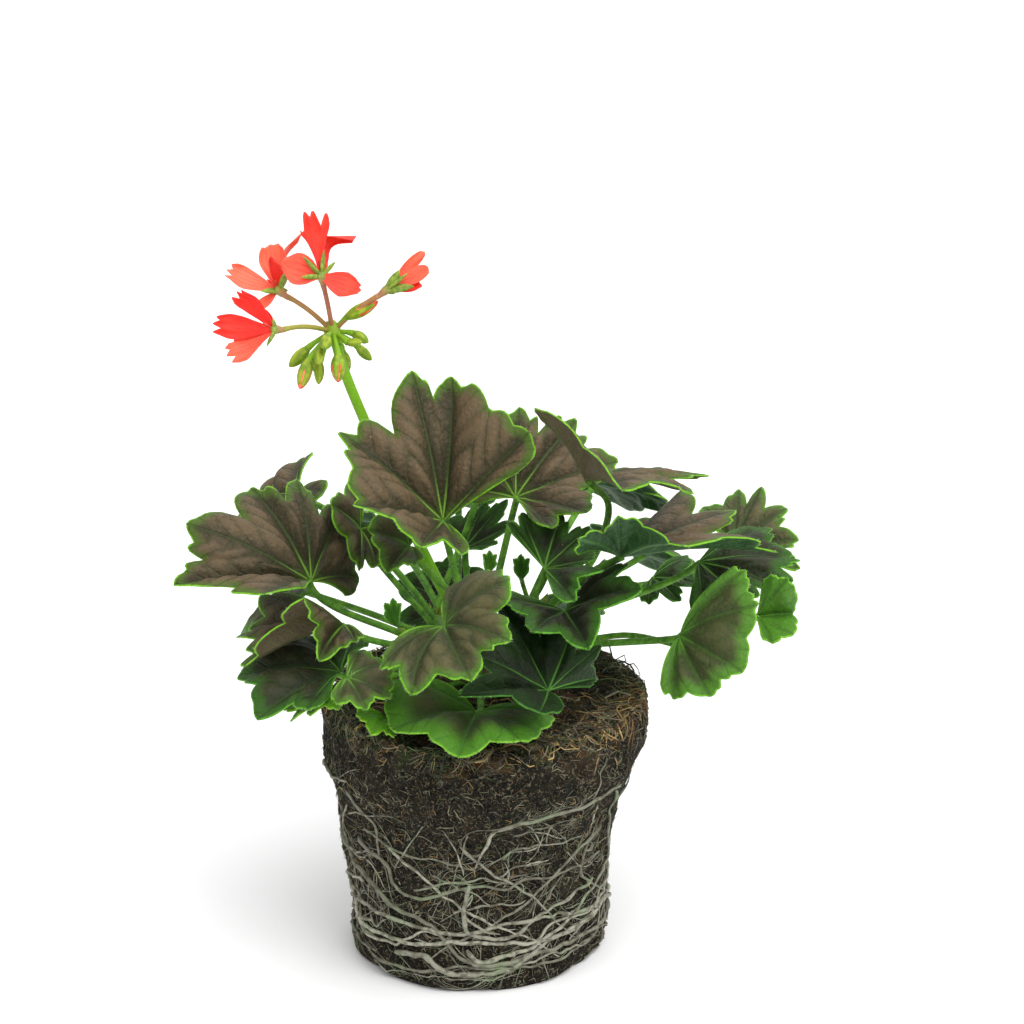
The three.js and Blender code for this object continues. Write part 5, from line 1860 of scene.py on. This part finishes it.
    def part_roots(self, shell: Shell) -> None:
        """Adds the roots that the part's own net has, at the same bearings and heights.

        Args:
            shell: the mesh to add to.
        """
        coils, runs = self.part_coils, self.part_runs
        i = np.arange(coils.number)
        start = np.stack([TURN * draw(i), 6 + 6 * i], -1)
        drop = np.stack([TURN * (0.75 + 0.2 * draw(i + 10)), 0 * i + 4], -1)
        self.run(shell, start, drop, np.full(coils.number, coils.radius[0]), coils)
        i = np.arange(runs.number)
        start = np.stack([TURN * (i + 0.5 * draw(i + 20)) / runs.number, 44 + 18 * draw(i + 40)], -1)
        way = np.where(i % 3 == 0, -1, 1) * TURN * (0.14 + 0.14 * draw(i + 30))
        drop = np.stack([way, 9 + 6 * draw(i + 50) - start[:, 1]], -1)
        self.run(shell, start, drop, np.full(runs.number, runs.radius[0]), runs)

    def own_roots(self, shell: Shell, rng: np.random.Generator) -> list[Array]:
        """Adds the seeded roots that circle the foot and cross the wall.

        Args:
            shell: the mesh to add to.
            rng: where the random draws come from.

        Returns:
            Bearing, height and heading along them, one array a sort.
        """
        number = self.foot_coils.number
        start = np.stack([rng.uniform(0, TURN, number), 2 + 15 * rng.uniform(size=number) ** 1.3], -1)
        way = rng.choice([-1, 1], number)
        drop = np.stack([way * rng.uniform(0.3, 1.5, number), rng.normal(0, 7, number)], -1)
        radius = rng.uniform(*self.foot_coils.radius, number)
        courses = [self.run(shell, start, drop, radius, self.foot_coils)]
        number = self.wall_runs.number
        start = np.stack([rng.uniform(0, TURN, number), rng.uniform(24, 66, number)], -1)
        way = rng.choice([-1, 1], number)
        drop = np.stack([way * rng.uniform(0.1, 0.8, number), rng.uniform(-34, -4, number)], -1)
        radius = rng.uniform(*self.wall_runs.radius, number)
        return [*courses, self.run(shell, start, drop, radius, self.wall_runs)]

    def build(self, finishes: "Finishes") -> list[Piece]:
        """Builds the net and the fine roots.

        Args:
            finishes: the plant's materials.

        Returns:
            The net and the fine roots.
        """
        net, fine = Shell(), Shell()
        self.part_roots(net)
        courses = [
            self.front(net, 0.0, 1.0, slice(None)),
            self.front(net, np.pi, -1.0, slice(None)),
            self.front(net, 2.05, -1.0, slice(1, None, 2)),
            self.front(net, -2.0, 1.0, slice(0, None, 2)),
        ]
        rng = np.random.default_rng(11)
        places = np.concatenate(courses + self.own_roots(net, rng))
        forks = self.branch(net, rng, places, self.branches)
        self.branch(fine, rng, np.concatenate([places, forks, forks]), self.fine_roots)
        return [
            net.build("root_net_fine", [finishes.root], "root", "root_net"),
            fine.build("fine_roots", [finishes.root], "root"),
        ]


class Finishes:
    """The plant's materials, each made once."""

    def __init__(self) -> None:
        """Makes every material."""
        self.leaves = {kind: kind.value.make() for kind in LeafKind}
        self.down = self.down_finish()
        self.sepal = self.sepal_finish()
        self.petal = self.petal_finish()
        self.bud = self.bud_finish()
        self.stem = self.stem_finish()
        self.peat = self.peat_finish()
        self.fibre = self.fibre_finish()
        self.root = self.root_finish()

    def down_finish(self) -> Material:
        """Returns the pale green of the hairs."""
        f = Finish("pale down")
        f.set(Base_Color=f.blend(f.grain(4), (0.5, 0.6, 0.35), (0.62, 0.7, 0.5)), Roughness=0.6)
        return f.material

    def petal_finish(self) -> Material:
        """Makes coral red petals, from deep to light, partly as painted light and shade, with darker veins
        and a paler back.

        Returns:
            The material.
        """
        f = Finish("petal coral")
        along, beside, tone = f.mark("along"), f.mark("beside"), f.mark("tone")
        streak = f.math("SINE", 17.0 * (0.12 * f.grain(2.5) + beside))
        streak = f.rise(streak, 0.45, 1.0) * (0.8 * f.grain(1.5) + 0.1)
        deep = streak * (0.55 * (1.0 - f.rise(along, 0.4, 1.0)) + 0.2)
        # each petal's carried tone makes it lighter or darker: partly painted light and shade by how it faces
        # the light
        light = 0.36 * f.grain(3.5) + tone + 0.16 * f.rise(along, 0.1, 1.0) - 0.26
        body = f.blend(f.rise(light, -0.1, 1.1), (0.83, 0.016, 0.008), (0.93, 0.168, 0.09))
        body = f.blend(deep, body, (0.6, 0.012, 0.016))
        body = f.blend(0.22 * f.mark("under"), body, (0.88, 0.15, 0.13))
        f.set(Base_Color=body, Roughness=0.55, Sheen_Weight=0.04, Sheen_Roughness=0.4, Specular_IOR_Level=0.3)
        f.set(Subsurface_Weight=0.15, Subsurface_Scale=0.0012, Subsurface_Radius=(1.0, 0.2, 0.1))
        f.bump(streak, 0.1)
        f.bump(f.grain(0.5), 0.03)
        return f.material

    def sepal_finish(self) -> Material:
        """Makes olive green sepals and cups that turn rosy towards the stalk.

        Returns:
            The material.
        """
        f = Finish("sepal green")
        green = f.blend(f.rise(f.grain(1.6), 0.35, 0.65), (0.13, 0.23, 0.02), (0.29, 0.4, 0.04))
        warm = f.blend(0.5 * f.rise(f.grain(2.6), 0.52, 0.72), green, (0.3, 0.2, 0.045))
        f.set(Base_Color=f.blend(0.8 * f.mark("rosy"), warm, (0.46, 0.17, 0.11)), Roughness=0.5)
        f.set(Subsurface_Weight=0.1, Subsurface_Scale=0.001)
        f.bump(f.grain(0.5), 0.08)
        return f.material

    def bud_finish(self) -> Material:
        """Makes the flower stalk's greens, darker low down as painted shade, with rosy pedicels and buds with
        red slits.

        Returns:
            The material.
        """
        f = Finish("flower stalk green")
        # the carried height paints the stalk darker low down, as painted shade among the leaves, and lighter
        # above
        green = f.blend(f.mark("high"), (0.12, 0.36, 0.01), (0.19, 0.4, 0.014))
        green = f.blend(0.5 * f.rise(f.grain(5), 0.35, 0.7), green, (0.22, 0.5, 0.02))
        bud = f.blend(f.rise(f.grain(2.4), 0.36, 0.64), (0.15, 0.29, 0.015), (0.34, 0.46, 0.03))
        bud = f.blend(0.5 * (1.0 - f.mark("rib")), bud, (0.18, 0.2, 0.025))
        rosy = f.blend(f.grain(2.5), (0.3, 0.075, 0.05), (0.52, 0.2, 0.13))
        body = f.blend(f.mark("rosy"), f.blend(f.mark("bud"), green, bud), rosy)
        slit = f.rise(0.5 * f.grain(1.5) + f.mark("slit"), 0.62, 0.8)
        red = f.blend(f.rise(f.grain(2.0), 0.4, 0.6), (0.75, 0.06, 0.03), (0.85, 0.25, 0.12))
        f.set(Base_Color=f.blend(slit, body, red), Roughness=0.48, Specular_IOR_Level=0.2)
        f.set(Subsurface_Weight=0.1, Subsurface_Scale=0.0012)
        f.bump(f.grain(0.7), 0.08)
        return f.material

    def stem_finish(self) -> Material:
        """Makes green shoots that turn to brown ringed bark at the trunk.

        Returns:
            The material.
        """
        f = Finish("stem green to bark")
        green = f.blend(f.grain(3), (0.09, 0.19, 0.035), (0.17, 0.31, 0.06))
        bark = f.blend(f.grain(1.4, 5, (1, 1, 3)), (0.1, 0.06, 0.035), (0.22, 0.15, 0.09))
        f.set(Base_Color=f.blend(f.mark("wood"), green, bark), Roughness=0.65)
        f.bump(f.grain(0.9, 4), 0.3)
        return f.material

    def peat_finish(self) -> Material:
        """Makes dark moist peat: near-black patches, brown crumbs, and threads of straw and grey.

        Returns:
            The material.
        """
        f = Finish("peat")
        near_black, brown = (0.0035, 0.0032, 0.0024), (0.018, 0.0155, 0.0095)
        crumb = f.blend(f.rise(f.grain(2.2, 5), 0.38, 0.68), near_black, brown)
        crumb = f.blend(0.7 * f.rise(f.grain(9, 2), 0.5, 0.75), crumb, (0.032, 0.024, 0.0145))
        mossy = f.blend(f.rise(f.grain(11, 2), 0.45, 0.55), (0.034, 0.046, 0.013), (0.08, 0.042, 0.017))
        crumb = f.blend(f.mark("rim") * f.rise(f.grain(7, 2), 0.44, 0.6), crumb, mossy)
        straw = f.threads(1.9, 0.035) * f.rise(f.grain(1.3), 0.48, 0.58)
        grey = f.threads(2.6, 0.028) * f.rise(f.grain(1.7), 0.5, 0.6)
        dark = 0.6 * f.threads(1.4, 0.04)
        crumb = f.blend(dark, crumb, (0.035, 0.031, 0.021))
        crumb = f.blend(0.85 * straw, crumb, (0.22, 0.17, 0.095))
        crumb = f.blend(0.85 * grey, crumb, (0.17, 0.18, 0.13))
        f.set(Base_Color=crumb, Roughness=0.95, Specular_IOR_Level=0.15)
        f.bump(f.grain(1.0, 6), 0.9)
        f.bump(f.most(straw, grey, dark), 0.35)
        return f.material

    def fibre_finish(self) -> Material:
        """Makes peat fibres from dark brown to straw, and the moss and rusty litter on top.

        Returns:
            The material.
        """
        f = Finish("peat fibre")
        pale = f.mark("pale")
        body = f.blend(pale, (0.011, 0.0098, 0.0063), (0.36, 0.33, 0.215))
        body = f.blend(f.mark("moss"), body, f.blend(pale, (0.022, 0.036, 0.009), (0.15, 0.2, 0.06)))
        body = f.blend(f.mark("rust"), body, f.blend(pale, (0.085, 0.04, 0.014), (0.56, 0.38, 0.15)))
        f.set(Base_Color=body, Roughness=0.85)
        f.bump(f.grain(0.4), 0.05)
        return f.material

    def root_finish(self) -> Material:
        """Makes grey-beige roots, stained with peat and a little green in places.

        Returns:
            The material.
        """
        f = Finish("root")
        body = f.blend(f.mark("tone"), (0.13, 0.128, 0.088), (0.37, 0.365, 0.285))
        body = f.blend(0.82 * f.rise(f.grain(2.4, 4), 0.43, 0.64), body, (0.072, 0.064, 0.04))
        body = f.blend(0.5 * f.rise(f.grain(12), 0.52, 0.68), body, (0.2, 0.27, 0.14))
        f.set(Base_Color=body, Roughness=0.7, Subsurface_Weight=0.06, Subsurface_Scale=0.001)
        f.bump(f.grain(0.6, 4), 0.16)
        f.bump(f.grain(0.9, 2, (1, 1, 0.3)), 0.1)
        return f.material


@dataclass(frozen=True)
class Lamp:
    """A soft square light that points at the middle of the plant."""

    name: str
    place: tuple[float, float, float]  # metres
    size: float  # its side, metres
    power: float  # watts


@dataclass(frozen=True)
class Studio:
    """The camera at the photograph's place, a pale floor and soft light."""

    camera_mm: tuple[float, float, float] = (11.7, -1000.0, 500.0)
    pitch_down: float = 18.6  # degrees
    focal_mm: float = 106.5
    sensor_mm: float = 36.0
    floor_size: float = 60.0  # metres
    lamps: tuple[Lamp, ...] = (
        Lamp("key", (0.75, -0.85, 1.6), 1.3, 17.0),
        Lamp("fill", (-1.2, -0.8, 1.2), 1.4, 4.0),
        Lamp("back", (0.1, 1.2, 1.3), 1.2, 8.0),
    )
    aim_height: float = 0.13  # of the plant's middle, metres
    sky_power: float = 1.95
    sky_width: float = 80.0  # degrees
    sky_tilt: float = 16.0  # degrees
    surroundings: float = 0.55

    def place(self, name: str, data: bpy.types.ID) -> Piece:
        """Puts a camera, a lamp or a mesh into the scene and returns its object."""
        holder = bpy.data.objects.new(name, data)
        bpy.context.scene.collection.objects.link(holder)
        return holder

    def build(self) -> None:
        """Places the camera, the floor, the lights and the pale surroundings."""
        self.camera()
        self.floor()
        for lamp in self.lamps:
            self.light(lamp)
        self.sky()
        world = bpy.data.worlds.new("surroundings")
        world.use_nodes = True
        background = world.node_tree.nodes["Background"]
        background.inputs["Color"].default_value = (1, 1, 1, 1)
        background.inputs["Strength"].default_value = self.surroundings
        bpy.context.scene.world = world
        bpy.context.scene.view_settings.view_transform = "Standard"

    def camera(self) -> None:
        """Places the camera and looks through it."""
        camera = bpy.data.cameras.new("camera")
        camera.lens = self.focal_mm
        camera.sensor_width = self.sensor_mm
        camera.clip_end = 100
        holder = self.place("camera", camera)
        holder.location = [c * MM for c in self.camera_mm]
        holder.rotation_euler = ((90 - self.pitch_down) * DEGREE, 0, 0)
        bpy.context.scene.camera = holder

    def floor(self) -> None:
        """Lays a flat pale floor."""
        half = self.floor_size / 2
        corners = [(-half, -half, 0), (half, -half, 0), (half, half, 0), (-half, half, 0)]
        mesh = bpy.data.meshes.new("floor")
        mesh.from_pydata(corners, [], [(0, 1, 2, 3)])
        finish = Finish("floor white")
        finish.set(Base_Color=(0.93, 0.93, 0.93), Roughness=0.9, Specular_IOR_Level=0.2)
        mesh.materials.append(finish.material)
        self.place("floor", mesh)

    def sky(self) -> None:
        """Adds a very wide soft light from above, which is the same all over the floor."""
        lamp = bpy.data.lights.new("sky", "SUN")
        lamp.energy = self.sky_power
        lamp.angle = self.sky_width * DEGREE
        self.place("sky", lamp).rotation_euler = (self.sky_tilt * DEGREE, self.sky_tilt * DEGREE, 0)

    def light(self, lamp: Lamp) -> None:
        """Hangs one of the square lights and turns it to the plant.

        Args:
            lamp: the light's place, size and power.
        """
        data = bpy.data.lights.new(lamp.name, "AREA")
        data.size = lamp.size
        data.energy = lamp.power
        x, y, z = lamp.place
        holder = self.place(lamp.name, data)
        holder.location = lamp.place
        tilt = math.atan2(math.hypot(x, y), z - self.aim_height)
        holder.rotation_euler = (tilt, 0, math.atan2(y, x) + math.pi / 2)


def main() -> None:
    """Loads the frame, builds each group of pieces around it and reports them."""
    logging.basicConfig(level=logging.INFO, format="%(name)s: %(message)s")
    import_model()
    Studio().build()
    finishes = Finishes()
    pieces = [*RootBall().build(finishes), *RootNet().build(finishes), Stem().build(finishes)]
    pieces += FlowerHead().build(finishes)
    pieces += Foliage().build(finishes)
    total = 0
    for piece in pieces:
        triangles = sum(len(face.vertices) - 2 for face in piece.data.polygons)
        total += triangles
        LOG.info("%s: %d triangles", piece.name, triangles)
    LOG.info("all pieces: %d triangles", total)
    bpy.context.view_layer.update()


if __name__ == "__main__":
    main()
